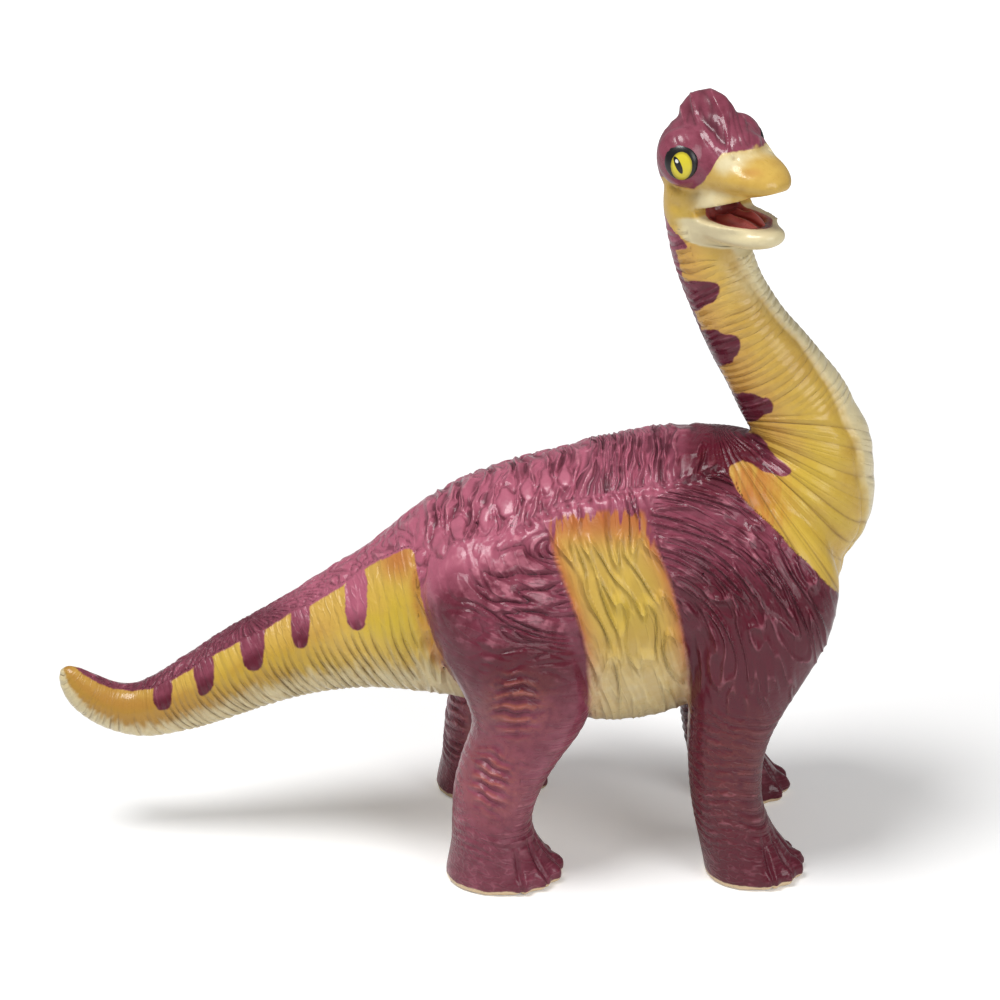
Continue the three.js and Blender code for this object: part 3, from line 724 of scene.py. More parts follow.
class Places:
    """Where each point of the skin lies, in millimetres: in the figure, on the picture, beside the
    row of dimples, and along, off and round the body's spine."""

    def __init__(self, points):
        self.points = points
        self.x, self.y, self.z = points.T
        self.side = np.abs(self.y)
        self.u, self.v = on_picture(points)
        self.wide, self.tall = self.u / PX_PER_MM, self.v / PX_PER_MM
        self.above, self.dimple_run = beside_line(DIMPLES_PX, self.u, self.v)
        self.run, self.off = ring_place(BODY_MM, points, 0)
        middle, self.thick = (np.interp(self.x, BODY_MM[:, 0], BODY_MM[:, k]) for k in (1, 2))
        self.low = (self.z - middle) / self.thick

    def girth(self, across):
        """The way round the trunk, from its top."""
        return np.arctan2(across, self.z - TRUNK_HEIGHT_MM) * TRUNK_RADIUS_MM

    def swirl(self, hub, flat=1.0):
        """The distance from a hub on the picture, flattened sideways, and the way round it."""
        across, down = (self.u - hub[0]) / PX_PER_MM / flat, (self.v - hub[1]) / PX_PER_MM
        ring = np.hypot(across, down)
        return ring, np.arctan2(across, down) * ring


def blob(u, v, *spot):
    """A soft spot, 1 in its middle: e to the minus square of the distance from its centre, counted
    in its own half width and half height."""
    return np.exp(-(((u - spot[0]) / spot[2]) ** 2) - ((v - spot[1]) / spot[3]) ** 2)


def spots(table, u, v):
    """Each soft spot of a table by its strength, one row to the spot."""
    return np.array([strength * blob(u, v, *spot) for *spot, strength in table])


def calmed(folds, share):
    """Folds drawn towards smooth skin, down to a share of themselves."""
    return folds | {"fold": SMOOTH + (folds["fold"] - SMOOTH) * share, "clear": share}


def hush(skin, mask):
    """Takes the sharp folds and their web off the skin by a mask from 0 to 1."""
    skin["clear"], skin["web"] = skin["clear"] * (1 - mask), skin["web"] * (1 - mask)


def press(skin, mask, depth, shade):
    """Sinks the skin by a mask from 0 to 1 and lowers its fold mark, which paints shade in the
    dent, with no folds across it.
    """
    skin["rise"] = skin["rise"] - depth * mask
    skin["fold"] = skin["fold"] * (1 - shade * mask)
    hush(skin, mask)


def flank_folds(skin, at):
    """Raised strands that run down, leaning a little, and are fainter towards the belly."""
    lean = at.wide - 0.3 * at.tall + 1.2 * drift(at.wide / 8, at.tall / 12, seed=10)
    folds = strands(lean, at.tall, pitch=2.3, reach=9, seed=11, base=0.38)
    depth = 0.7 - 0.4 * ease(at.v, 660, 712)
    lay(skin, 0 * lean + 1, depth, folds, grid=(lean / 1.6, at.tall / 9), web=0.35)


def back_folds(skin, at, back):
    """Thin ribs over the ridge of the back, down to the row of dimples."""
    girth = at.girth(at.y)
    rib = at.run + 0.3 * at.tall + 0.5 * drift(at.wide / 2.5, at.tall / 3, seed=20)
    folds = ribs(rib, girth, pitch=1.6, seed=21, power=1.1)
    lay(skin, back, 0.68, folds, grid=(rib / 1.2, girth / 2.4))


def shoulder_folds(skin, at, shoulder):
    """Raised strands that sweep round from the withers to the arm, fainter down the arm."""
    ring, turn = at.swirl(SHOULDER_HUB_PX)
    calm = 1 - 0.6 * ease(at.v, 585, 660)
    folds = strands(ring, turn, pitch=2.5, reach=8, seed=31)
    lay(skin, shoulder, 0.7 * calm, folds, grid=(ring / 1.6, turn / 6), web=calm)


def thigh_folds(skin, at, thigh):
    """Creases nested like bowls, deepest in the middle of the thigh and faint behind."""
    ring, turn = at.swirl(THIGH_HUB_PX, flat=1.55)
    deep = np.clip(0.12 + 0.95 * blob(at.u, at.v, *THIGH_SPOT_PX), 0, 0.9)
    folds = calmed(wrinkles(ring, turn, pitch=1.9, reach=4.5, seed=41, power=0.8), deep)
    depth, web = 0.1 + 0.55 * deep, 0.2 + 0.6 * deep
    lay(skin, thigh, depth, folds, grid=(ring / 1.4, turn / 4), web=web)


def tail_folds(skin, at, tail):
    """Rings, fine on top and deep below, and low scales on the plum strip. They go round each side
    alike, so they meet under the tail and at its tip."""
    girth = at.girth(-at.side)
    below = ease(at.off / at.thick, 0.55, -0.3)
    phase = tail_phase(at.run) + 0.14 * below * at.off
    clear = (0.25 + 0.7 * below) * (0.55 + 0.45 * ease(at.x, -62, -40))
    rings = ribs(phase, girth / 3, pitch=1.0, seed=51, depth=clear)
    depth = (0.3 + 0.25 * below) * np.clip(at.thick / 8, 0.45, 1)
    lay(skin, tail, depth, rings, grid=(phase * 1.3, girth / 4), web=0.5 - 1.1 * below)
    slant = at.run + 0.5 * girth
    scales = wrinkles(slant, girth / 2, pitch=1.5, reach=1.4, seed=55, steep=1.3, power=1.0)
    strip = tail * ease(depth_in(TAIL_YELLOW_PX, at.u, at.v), 0.2, -0.8)
    lay(skin, strip, 0.4, calmed(scales, 0.6), grid=(at.run, girth / 3), web=0.4)


def leg_folds(skin, at, leg):
    """Level bands, faint on the near side, and a few strong rows over the knee and the shank."""
    level = at.z + 0.12 * (at.x - 10) + 1.2 * drift(at.x / 9, at.y / 9, seed=61)
    clear = np.maximum(0.75 * ease(at.y, 0, 5), 0.24) * ease(at.z, 4, 9)
    bands = ribs(level, at.x - at.y, pitch=1.8, seed=62, depth=clear, power=0.8)
    depth, grid = 0.25 + 0.2 * ease(at.z, 3, 9), (level / 1.1, (at.x - at.y) / 2.4)
    lay(skin, leg * ease(at.z, 38, 29), depth, bands, grid, web=0.55)
    knee = spots(KNEE_SPOTS_PX, at.u, at.v).max(axis=0) * leg
    bent = 0.5 * (at.u - HALF_PX) / PX_PER_MM * ease(at.v, 735, 765)
    slope = at.tall - bent + 0.6 * drift(at.wide / 3, at.tall / 4, seed=66)
    ragged = knee + 0.2 * drift(at.wide / 2, at.tall / 1.5, seed=67)
    rows = folded(slope / 1.9, power=0.9, base=0.1, clear=0.85 * ease(ragged, 0.2, 0.8))
    grid = (slope / 1.2, at.wide / 3)
    lay(skin, ease(knee, 0.05, 0.3), 0.3 + 0.25 * knee, rows, grid, web=0.35)


def neck_folds(skin, at, neck, nape, keel):
    """Rings, fainter along the keel, that fan out at the base from the crook of the neck. They go
    round each side alike, so they meet at the nape."""
    around = np.arctan2(-at.side, at.x - NECK_MIDDLE_MM) * NECK_RADIUS_MM
    depth = 0.22 + 0.12 * nape + 0.2 * keel
    run, _ = ring_place(NECK_MM, at.points, 1)
    rings = ribs(run, around, pitch=1.4, seed=71, depth=0.55 - 0.15 * keel)
    lay(skin, neck, depth, rings, grid=(run, around / 4), web=-0.4)
    turn = np.arctan2(at.v - CROOK_PX[1], at.u - CROOK_PX[0]) * FAN_RADIUS_MM
    rings = ribs(turn, around, pitch=1.7, seed=77, depth=0.8 - 0.35 * keel)
    lay(skin, neck * ease(at.v, 390, 430), depth, rings, grid=(turn, around / 5), web=-0.5)


def scutes(skin, at):
    """Oval scutes over the hip: low smooth domes, with a broken groove round each."""
    for middle_u, middle_v, half_u, half_v in SCUTES_PX:
        reach = np.hypot((at.u - middle_u) / half_u, (at.v - middle_v) / half_v)
        reach = reach + 0.22 * drift(at.u / 9, at.v / 11, seed=83)
        broken = np.clip(0.6 + 0.9 * drift(at.u / 12 + middle_u, at.v / 12, seed=85), 0, 1)
        groove = np.exp(-(((reach - 1) * min(half_u, half_v) / 2) ** 2)) * broken
        within = ease(reach, 1.05, 0.85)
        skin["rise"] = skin["rise"] * (1 - within) + within * 0.12 * (1 - reach**2)
        skin["fold"] = skin["fold"] * (1 - within) + within * 0.85
        hush(skin, within)
        press(skin, groove, 0.34, 0.8)


def folds_of(at, parts):
    """The height of the moulded skin over its smooth form, in millimetres, and the marks that the
    paint draws its folds from. Each region has its own folds, and the regions fade into each
    other; the keel, grooves, dimples and scutes come last."""
    leg, head, normal = parts["leg"], parts["head"], parts["normal"]
    back = ease(at.above, -2, 9) * ease(at.x, -14, -6) * ease(at.side, 15.5, 12.5)
    shoulder = ease(depth_in(SHOULDER_PX, at.u, at.v), -1.5, 1.5) * (1 - back)
    thigh = ease(depth_in(THIGH_PX, at.u, at.v), -1.2, 1.5) * (1 - 0.7 * back)
    base = ease(depth_in(NECK_YELLOW_PX, at.u, at.v), -0.5, 0.5) * ease(at.x, 42, 46) * (1 - back)
    neck = ease(beyond(NECK_JOINT, at.points), -9, -3) * (1 - leg) * (1 - shoulder)
    neck = np.maximum(neck, base)
    nape = ease(-normal[:, 0], 0.2, 0.7) * ease(at.z, 70, 78)
    ahead, edge = keel_of(at.points, normal)

    skin = dict.fromkeys(FOLD_MARKS, 0 * at.u)
    flank_folds(skin, at)
    back_folds(skin, at, back)
    shoulder_folds(skin, at, shoulder)
    thigh_folds(skin, at, thigh)
    tail_folds(skin, at, ease(at.x, -4, -9) * (1 - leg))
    leg_folds(skin, at, leg)
    neck_folds(skin, at, neck, nape, ahead * ease(edge, -0.5, 0.5))
    smooth = folded(0 * at.u, power=1.0, clear=0.0) | {"fold": 0 * at.u + HEAD_SMOOTH}
    lay(skin, head, 0.0, smooth, web=0.0)

    bare = ahead * (1 - head)
    skin["rise"] = skin["lift"] * (skin["fold"] - LEVEL) + 0.25 * ease(edge, -0.3, 0.7) * bare
    # Dents with painted shade: the keel's groove, the grooves between the toes, the dimples, the
    # scutes' grooves and the legs' seams.
    press(skin, np.exp(-(((edge + 0.5) / 0.6) ** 2)) * bare, 0.3, 0.4)
    press(skin, toe_grooves(at.points), 0.45, 0.75)
    beads = 0.35 + 0.65 * np.cos(math.pi * at.dimple_run / DIMPLE_PITCH_PX) ** 2
    dimples = np.exp(-((at.above / 4.2) ** 2)) * beads * (1 - neck)
    press(skin, dimples * ease(at.u, 505, 530), 0.5, 0.85)
    scutes(skin, at)
    press(skin, np.exp(-((parts["seam"] / 0.8) ** 2)) * ease(at.z, 60, 40), 0.2, 0.35)
    skin["fold"] = np.clip(skin["fold"], 0, 1)
    return np.maximum(skin.pop("rise"), -MAX_DENT_MM), skin


def less(outline, holes, u, v):
    """How far inside an outline and outside its holes each place lies, in millimetres."""
    return np.minimum.reduce([depth_in(outline, u, v)] + [-depth_in(hole, u, v) for hole in holes])


def yellow_areas(at, parts):
    """How far inside the yellow of the tail, the flank, the neck and the belly points lie, in
    millimetres. The flank's is drawn out softly by streaks of spray along its top."""
    tail = less(TAIL_YELLOW_PX, TAIL_DRIPS_PX, at.u, at.v)
    tail = np.minimum(tail, 0.3 - parts["seam"] * ease(at.z, 44, 34))
    streaks = 1.3 * drift(at.u / 6, at.v / 40, seed=87)
    streaks = streaks + 0.8 * drift(at.u / 2.5, at.v / 20, seed=89)
    sprayed = ease(at.v, 560, 512) * (0.6 + 3.2 * np.maximum(streaks, 0))
    flank = SPRAY_SHARE * (depth_in(FLANK_PX, at.u, at.v) - sprayed)
    neck = less(NECK_YELLOW_PX, NECK_PATCHES_PX, at.u, at.v)
    behind = (parts["normal"][:, 0] < 0.2) & (at.z > 74)
    neck = np.minimum(neck, np.where(behind, at.side - 1.9 - ease(at.z, 88, 104), FAR_MM))
    trunk = np.minimum(-parts["seam"] - 0.3, np.where(at.z < 60, FAR_MM, -FAR_MM))
    belly = np.minimum(np.minimum(9.5 - at.side, (-0.6 - at.low) * 6), trunk)
    return (
        np.where(at.x < 20, tail, -FAR_MM),
        np.where((at.x > 8) & (at.x < 50), flank, -FAR_MM),
        np.where(at.x > 25, neck, -FAR_MM),
        np.where((at.x > -12) & (at.x < 62), belly, -FAR_MM),
    )


def paleness(at, parts, belly):
    """How much cream lies over the yellow: keel, underside of tail and trunk, and throat."""
    ahead, edge = keel_of(at.points, parts["normal"])
    ragged = 0.22 * drift(2.2 * tail_phase(at.run), 2.5 * at.low, seed=91)
    return np.maximum.reduce([
        ahead * ease(edge, -1.0, 0.8) * (0.72 + 0.28 * ease(at.z, 66, 98)),
        0.72 * ease(at.low + ragged, 0.2, -0.6) * ease(at.x, 16, 2),
        0.55 * ease(at.v, 600, 700) * ease(at.x, 14, 18) * ease(at.x, 48, 42),
        0.6 * ease(belly, -1, 2),
        0.9 * blob(at.u, at.v, *THROAT_SPOT_PX),
    ])


def blushes(at, parts, areas, yellow):
    """How much orange is blended in: beside the plum, most on the flank, over the top of the
    flank's patch and of the tail, on the shoulder, up the nape, at the hip and by the thigh."""
    tail, flank, neck, _ = areas
    soft = flank > -2
    inner = np.where(soft, flank / SPRAY_SHARE, yellow)
    beside = 0.85 * np.exp(-np.maximum(inner, 0) / np.where(soft, 2.6, 1.6))
    thigh = np.exp(-np.maximum(-parts["seam"] - 0.2, 0)) * ease(at.x, 12, 4) * ease(at.z, 26, 32)
    nape = ease(parts["normal"][:, 0], 0.5, -0.6) * ease(at.z, 66, 76) * ease(at.x, 28, 32)
    streaks = 0.85 + 0.4 * drift(at.u / 3, at.v / 20, seed=93)
    return np.maximum.reduce([
        beside * np.where(neck > -2, 0.3, 1) * np.where(tail > -2, 0.25, 1),
        0.3 * ease(at.low, 0.1, 0.5) * ease(at.x, 5, -5),
        0.85 * ease(at.v, 572, 512) * ease(depth_in(FLANK_PX, at.u, at.v), -3, 0),
        streaks * blob(at.u, at.v, *SHOULDER_BLUSH_PX),
        0.4 * nape,
        0.75 * blob(at.u, at.v, *HIP_BLUSH_PX),
        0.7 * thigh,
    ])


def tones_and_painted_light(at, parts, yellow):
    """How light the paint is. Lighter over the top of the back and the hip is painted light; darker
    on the front of the shoulder, in the shade spots and low on the legs to the feet is painted
    shade.
    The nape and the tail's strip are darker plum, and the yellow is duller below the top of the
    tail and towards its tip."""
    # Painted light and shade: lighter over the top of the back, darker on the shoulder's front and
    # low on the legs and feet.
    hind = 0.05 * ease(at.z, 30, 22) - 0.17 * ease(at.z, 16, 5)
    plum = np.sum([
        0.4 + 0.6 * ease(at.above, -32, 12) * ease(at.u, 720, 640) * ease(at.z, 40, 48),
        -0.4 * ease(at.x, 30, 40) * ease(at.v, 540, 610),
        0.25 * ease(at.x, 0, -10) - 0.3 * ease(at.z, 72, 80),
        -ease(at.x, -7, -16) * (0.25 + 0.3 * ease(at.low, 0.75, 0.4)),
        parts["leg"] * np.where(at.x > 30, -0.12 * ease(at.z, 30, 15), hind),
        spots(PAINTED_SHADE_SPOTS_PX, at.u, at.v).sum(axis=0),
    ], axis=0)
    dull = np.sum([
        0.6 * ease(at.x, -15, -30) * ease(at.low, 0.9, 0.2),
        0.4 * ease(at.x, -46, -56),
        0.2 * ease(at.x, 38, 44),
    ], axis=0)
    return np.where(yellow > 0, 0.6 - dull, np.clip(plum, 0, 1))


def paint_of(at, parts):
    """Where each colour goes, as marks on the points: the depth inside the yellow areas, the bare
    soles and the mouth, in millimetres; how pale, orange, green and rubbed the skin is, and how
    light, which is partly painted light and shade, from 0 to 1; and 1 where the yellow's edge is
    sprayed."""
    areas = yellow_areas(at, parts)
    yellow = np.maximum.reduce(areas)
    marks = {
        "yellow": yellow,
        "pale": paleness(at, parts, areas[3]),
        "blush": blushes(at, parts, areas, yellow),
        "green": spots(GREEN_SPOTS_PX, at.u, at.v).max(axis=0),
        "rub": spots(RUB_SPOTS_PX, at.u, at.v).max(axis=0) * parts["leg"],
        "tone": tones_and_painted_light(at, parts, yellow),
        "sole": np.where(
            parts["leg"] > 0.5, 0.95 - at.z + 0.25 * drift(at.x / 3, at.y / 3, seed=81), -OUTSIDE_MM
        ),
        "spray": (areas[1] > -1.5).astype(float),
        "mouth": mouth_depth(at.points),
    }
    return head_paint(at.points, marks)


def mouth_depth(points):
    """How far inside the mouth's red hollow points lie, in millimetres."""
    local = unheaded(points)
    hollow = np.maximum(egg_depth(PALATE_MM, local), egg_depth(SCOOP_MM, local)) + 0.35
    hollow = np.where(local[:, 2] < -12, -OUTSIDE_MM, hollow)
    return np.where(np.abs(points[:, 2] - 112) < 9, hollow, -OUTSIDE_MM)


def head_paint(points, marks):
    """The head's own colours over the marks, worked out in its own frame: plum on top down to a
    line that dips round the eye, and pale below and on the bridge of the snout. The cream on the
    bridge and the cheek is partly painted light, on the snout's top and under the brow."""
    x, y, z = unheaded(points).T
    side = np.abs(y)
    own = ease(z - np.interp(x, *JAWLINE_MM), -0.2, 0.2)
    own = np.maximum(own, ease(jaw_depth(points), -0.5, 0)) * ease(points[:, 2], 100, 102)
    plum = np.minimum(z - np.interp(x, *EYELINE_MM), 9.6 - 0.05 * side**2 - x)
    nape = np.where(z < 0, np.minimum(-3.5 - x, 4.0 - side), -FAR_MM)
    yellow = -np.maximum(plum, nape)
    chin = ease(z + 0.12 * np.maximum(x - 2, 0), -6.4, -7.6) * ease(x, -4.5, 0.5)
    # Cream paint on the bridge and the cheek, lifted by painted light on the snout's top and on the
    # cheek in the shade under the brow.
    bridge_cream_and_light, cheek_cream_and_light = blob(x, z, 8.0, 1.9, 2.6, 1.9), blob(x, z, 4.2, -4.2, 4.2, 2.4)
    dent = blob(*picture(points), *SNOUT_BLUSH_PX)
    beside = 0.35 * np.exp(-np.maximum(yellow, 0) / 0.8) * ease(x, 5, 0)
    heads = {
        "pale": np.maximum.reduce([0.85 * bridge_cream_and_light, 0.8 * cheek_cream_and_light, chin]),
        "blush": np.maximum(beside, 0.4 * dent),
        "tone": 0.42,
        "green": 0.35 * blob(x, z, -1, -7, 2.5, 2),
    }
    marks["yellow"] = np.where(own > 0.5, yellow, marks["yellow"])
    for mark, values in heads.items():
        marks[mark] = marks[mark] * (1 - own) + values * own
    return marks


def head_relief(points, high):
    """Ridges that run down over the crest, a fine grain on the brows and the dents of the nostrils,
    ears and snout, in millimetres, and how far up its fold each point is: lower in the nostrils,
    the ears and the hollow between crest and brow, which paints shade there."""
    x, y, z = unheaded(points).T
    side = np.abs(y)
    snout = ease(z, 3.0, 4.2) * ease(x, 4.5, 6) * ease(x, 10.5, 9)
    top = np.clip(ease(z, 5.0, 7.5) * ease(x, 10.5, 8.5) + snout, 0, 1) * ease(side, 5.6, 4.2)
    across = points[:, 0] + 0.15 * points[:, 2]
    ridge = 0.75 * strands(across, z, pitch=2.2, reach=9, seed=92, base=0.15)["fold"]
    ridge = ridge + 0.3 * wrinkles(across, z, pitch=1.7, reach=8, seed=97)["fold"]
    grain = wrinkles(x + z, side, pitch=1.6, reach=5, seed=95)["fold"]
    brow = blob(x, z, 2.0, 4.0, 4.5, 3.5) * ease(side, 4.0, 5.5)
    nostril = blob(x, side, 8.6, 4.0, 0.55, 0.5) * ease(z, 1.5, 2.5)
    ear = blob(x, z, -2.2, -5.2, 1.0, 0.8)
    hollow = blob(x, side, 4.6, 3.9, 3.2, 0.8) * ease(z, 3.5, 5)
    dent = blob(*picture(points), *SNOUT_DENT_PX) * ease(y, 1, -1)
    rise = 0.3 * (ridge - LEVEL) * top + 0.12 * (grain - LEVEL) * brow
    rise = rise - 0.45 * nostril - 0.3 * ear - 0.7 * hollow - 0.2 * dent
    # Painted shade: the fold mark is lower in the nostrils, the ears and the hollow between crest
    # and brow.
    shape = HEAD_SMOOTH + (ridge - HEAD_SMOOTH) * top - 0.6 * nostril - 0.3 * ear - 0.4 * hollow
    own = ease(z, -9.4, -8.2)
    return rise * own, high * (1 - own) + np.clip(shape, 0, 1) * own


def divide(points, cells, parts):
    """Puts each cell in the first part whose depth is above zero on average, and slides the points
    on each border along the skin onto the place where the depth is zero: against its slope, by the
    depth over the slope's square. Returns the points and a dict of each part's cells."""
    normals = facing(points, cells)
    points, free, owned = points.copy(), np.ones(len(cells), dtype=bool), {}
    for name, depth in parts:
        inside = depth(points)[cells].mean(axis=1) > 0
        ins, outs = np.zeros(len(points), dtype=bool), np.zeros(len(points), dtype=bool)
        ins[cells[inside & free].ravel()] = True
        outs[cells[~inside & free].ravel()] = True
        border = np.flatnonzero(ins & outs)
        at = points[border]
        steps = SLOPE_STEP_MM * np.eye(3)
        slope = np.stack([depth(at + step) - depth(at - step) for step in steps], axis=1)
        slope /= 2 * SLOPE_STEP_MM
        slope -= normals[border] * np.einsum("ij,ij->i", slope, normals[border])[:, None]
        steep = np.maximum((slope**2).sum(axis=1, keepdims=True), LEAST_SLOPE)
        move = -depth(at)[:, None] * slope / steep
        size = np.linalg.norm(move, axis=1, keepdims=True)
        points[border] += move * np.minimum(1, MOST_SLIDE_MM / np.maximum(size, 1e-6))
        owned[name] = cells[inside & free]
        free &= ~inside
    return points, owned, cells[free]


def bearings(points, normals):
    """What the folds and the paint need to know of each point: how much it is leg or head, from 0
    to 1, how far inside the nearest leg it lies, in millimetres, and which way it faces."""
    seam = np.maximum.reduce([leg_depth(rows, points) for rows in LEGS.values()])
    head = np.maximum(ease(unheaded(points)[:, 2], -9.4, -8.2), ease(jaw_depth(points), -2.4, -1.2))
    head = head * ease(points[:, 2], 100, 103)
    return {"leg": ease(seam, -0.5, 0.7), "seam": seam, "head": head, "normal": normals}


def moulded(name, points, cells, normals, marks, material):
    """One moulding of the figure: its own cells of the skin, closed by a lid at each border, with
    the whole skin's normals so that it shades as one with its neighbours."""
    used, corners = np.unique(cells, return_inverse=True)
    mesh = mesh_of(name, points[used] * MM, corners.reshape(-1, 4).tolist())
    shell = bmesh.new()
    shell.from_mesh(mesh)
    rims = [edge for edge in shell.edges if edge.is_boundary]
    lids = bmesh.ops.holes_fill(shell, edges=rims, sides=0)["faces"]
    bmesh.ops.triangulate(shell, faces=lids)
    shell.to_mesh(mesh)
    shell.free()
    marked(mesh, {mark: values[used] for mark, values in marks.items()})
    mesh.shade_smooth()
    mesh.normals_split_custom_set_from_vertices(normals[used].tolist())
    placed(name, mesh, material)


def insert(name, points, faces, marks, material):
    """A small closed piece of its own, with its marks and all its faces turned outwards."""
    mesh = mesh_of(name, points * MM, faces)
    marked(mesh, marks)
    shell = bmesh.new()
    shell.from_mesh(mesh)
    bmesh.ops.recalc_face_normals(shell, faces=shell.faces)
    shell.to_mesh(mesh)
    shell.free()
    mesh.shade_smooth()
    placed(name, mesh, material)


def marked(mesh, marks):
    """Writes marks on the points of a mesh, as attributes that its material reads."""
    for mark, values in marks.items():
        layer = mesh.attributes.new(mark, "FLOAT", "POINT")
        layer.data.foreach_set("value", values.astype(np.float32))


def placed(name, mesh, material):
    """Puts a finished piece in the scene: it rides on the figure, takes the given material and
    stands for the node of the same name, if there is one."""
    piece = bpy.data.objects.new(name + "_skin", mesh)
    bpy.context.scene.collection.objects.link(piece)
    mesh.materials.append(material)
    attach(piece, "root")
    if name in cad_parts:
        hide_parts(name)


class Shade:
    """A socket of a material's node tree that can be reckoned with as a number is."""

    def __init__(self, tree, socket=None):
        """A socket, or without one the start of a tree's shade maths."""
        self.tree, self.socket = tree, socket

    def node(self, kind, settings=None, sockets=None, output=0):
        """A new node of a kind: its settings come first, then its sockets' values or links."""
        made = self.tree.nodes.new(kind)
        for key, value in (settings or {}).items():
            setattr(made, key, value)
        for key, value in (sockets or {}).items():
            if isinstance(value, Shade):
                self.tree.links.new(value.socket, made.inputs[key])
            else:
                made.inputs[key].default_value = value
        return Shade(self.tree, made.outputs[output])

    def reckon(self, operation, *values):
        """A Math node's operation on sockets or numbers."""
        return self.node("ShaderNodeMath", {"operation": operation}, dict(enumerate(values)))

    def __add__(self, other):
        return self.reckon("ADD", self, other)

    def __sub__(self, other):
        return self.reckon("SUBTRACT", self, other)

    def __rsub__(self, other):
        return self.reckon("SUBTRACT", other, self)

    def __mul__(self, other):
        return self.reckon("MULTIPLY", self, other)

    __radd__ = __add__
    __rmul__ = __mul__

    def between(self, low, high, to_low=0.0, to_high=1.0):
        """The smooth step from low to high, as a value from to_low to to_high."""
        return self.node(
            "ShaderNodeMapRange",
            {"interpolation_type": "SMOOTHSTEP"},
            {0: self, 1: low, 2: high, 3: to_low, 4: to_high},
        )

    def blend(self, first, second):
        """The first colour, with the second over it by this share."""
        return self.node(
            "ShaderNodeMix", {"data_type": "RGBA"}, {0: self, 6: first, 7: second}, output=2
        )

    def mark(self, name):
        """A mark that was worked out on the points."""
        return self.node("ShaderNodeAttribute", {"attribute_name": name}, output="Fac")

    def noise(self, place, scale, detail):
        """Noise from 0 to 1 at a place."""
        sockets = {"Vector": place, "Scale": scale, "Detail": detail}
        return self.node("ShaderNodeTexNoise", {}, sockets, "Fac")

    def speckle(self, size, detail=2.0):
        """Noise on the figure whose grains are so many millimetres across."""
        return self.noise(self.node("ShaderNodeTexCoord", output="Object"), 1 / (size * MM), detail)

    def into(self, node, key):
        """Links this value to a socket of a node."""
        self.tree.links.new(self.socket, node.inputs[key])


def material_of(name):
    """An empty material, its surface shader and the start of its shade maths."""
    if name in bpy.data.materials:
        bpy.data.materials.remove(bpy.data.materials[name])
    material = bpy.data.materials.new(name)
    material.use_nodes = True
    surface = material.node_tree.nodes["Principled BSDF"]
    return material, surface, Shade(material.node_tree)


def rgba(colour):
    """A colour of three parts, made solid."""
    return (*colour, 1.0)


def finish(surface, shade, colour, roughness, relief, depth_mm, strength, varnish):
    """Links colour, roughness and a fine relief to a surface shader, and sets its varnish: plain
    values of its own sockets."""
    bump = {"Strength": strength, "Distance": depth_mm * MM, "Height": relief}
    colour.into(surface, "Base Color")
    roughness.into(surface, "Roughness")
    shade.node("ShaderNodeBump", {}, bump).into(surface, "Normal")
    for key, value in varnish.items():
        surface.inputs[key].default_value = value


def drawn_fold(shade):
    """How far up its fold a place lies. The points' own height is drawn to a sharp crest where the
    folds are clear: 1 less twice the distance from a whole turn, raised to a power over a base. A
    fine web of lines, where a noise passes a half, lies over it."""
    turns = shade.mark("turns")
    near = shade.reckon("ABSOLUTE", turns - shade.reckon("ROUND", turns)) * 2
    sharp = shade.reckon("POWER", shade.reckon("MAXIMUM", 1 - near, 0.0), shade.mark("power"))
    sharp = sharp + (1 - sharp) * shade.mark("base")
    grid = {"X": shade.mark("across"), "Y": shade.mark("along")}
    web = shade.noise(shade.node("ShaderNodeCombineXYZ", {}, grid), 1.0, 1.0)
    line = shade.reckon("ABSOLUTE", web - 0.5).between(0.11, 0.0)
    fold = shade.mark("fold")
    fold = fold + (sharp - fold) * shade.mark("clear")
    return fold + (line - 0.25) * shade.mark("web") * 0.35


def plum_paint(shade, looks, fold, tone, brushed):
    """Plum by its tone: earthy rubs on the legs, a dark wash and painted shade in the creases, and
    dry-brushed paint and painted highlight on the fold tops.
    """
    # The tone blends the dark end, painted shade low on the figure, with the light end, painted
    # light over the back; random patches use both.
    plum = tone.between(0.0, 1.0).blend(rgba(looks.plum_dark_and_shaded), rgba(looks.plum_light_and_lit))
    rubbed = shade.mark("rub") * fold.between(0.45, 0.9) * brushed.between(0.3, 0.5)
    plum = (rubbed * 0.75).blend(plum, rgba(looks.rub))
    # Dark wash and painted shade in the creases.
    plum = fold.between(0.35, 0.0, 0.0, 0.65).blend(plum, rgba(looks.plum_crease_wash_and_shade))
    # Dry-brushed paint and painted highlight on the fold tops, stronger where the tone is lit.
    top = fold.between(0.75, 1.1) * brushed.between(0.35, 0.6) * tone.between(-0.2, 1.0, 0.3, 0.7)
    return top.blend(plum, rgba(looks.plum_ridge_rub_and_highlight))


def yellow_paint(shade, looks, fold, tone, brushed, coarse):
    """Yellow by its tone: orange, lime and cream blended in, and an olive wash and painted shade in
    the creases.
    """
    yellow = tone.between(0.0, 0.6).blend(rgba(looks.yellow_deep), rgba(looks.yellow))
    yellow = shade.mark("blush").between(0.1, 0.9).blend(yellow, rgba(looks.orange))
    lime = shade.mark("green") * coarse.between(0.3, 0.6, 0.5, 1.0)
    yellow = lime.blend(yellow, rgba(looks.green))
    worn = shade.mark("pale") + (brushed - 0.5) * 0.35
    yellow = worn.between(0.1, 0.9).blend(yellow, rgba(looks.pale))
    # Olive wash and painted shade in the creases.
    return fold.between(0.55, 0.0, 0.0, 0.7).blend(yellow, rgba(looks.olive_crease_wash_and_shade))


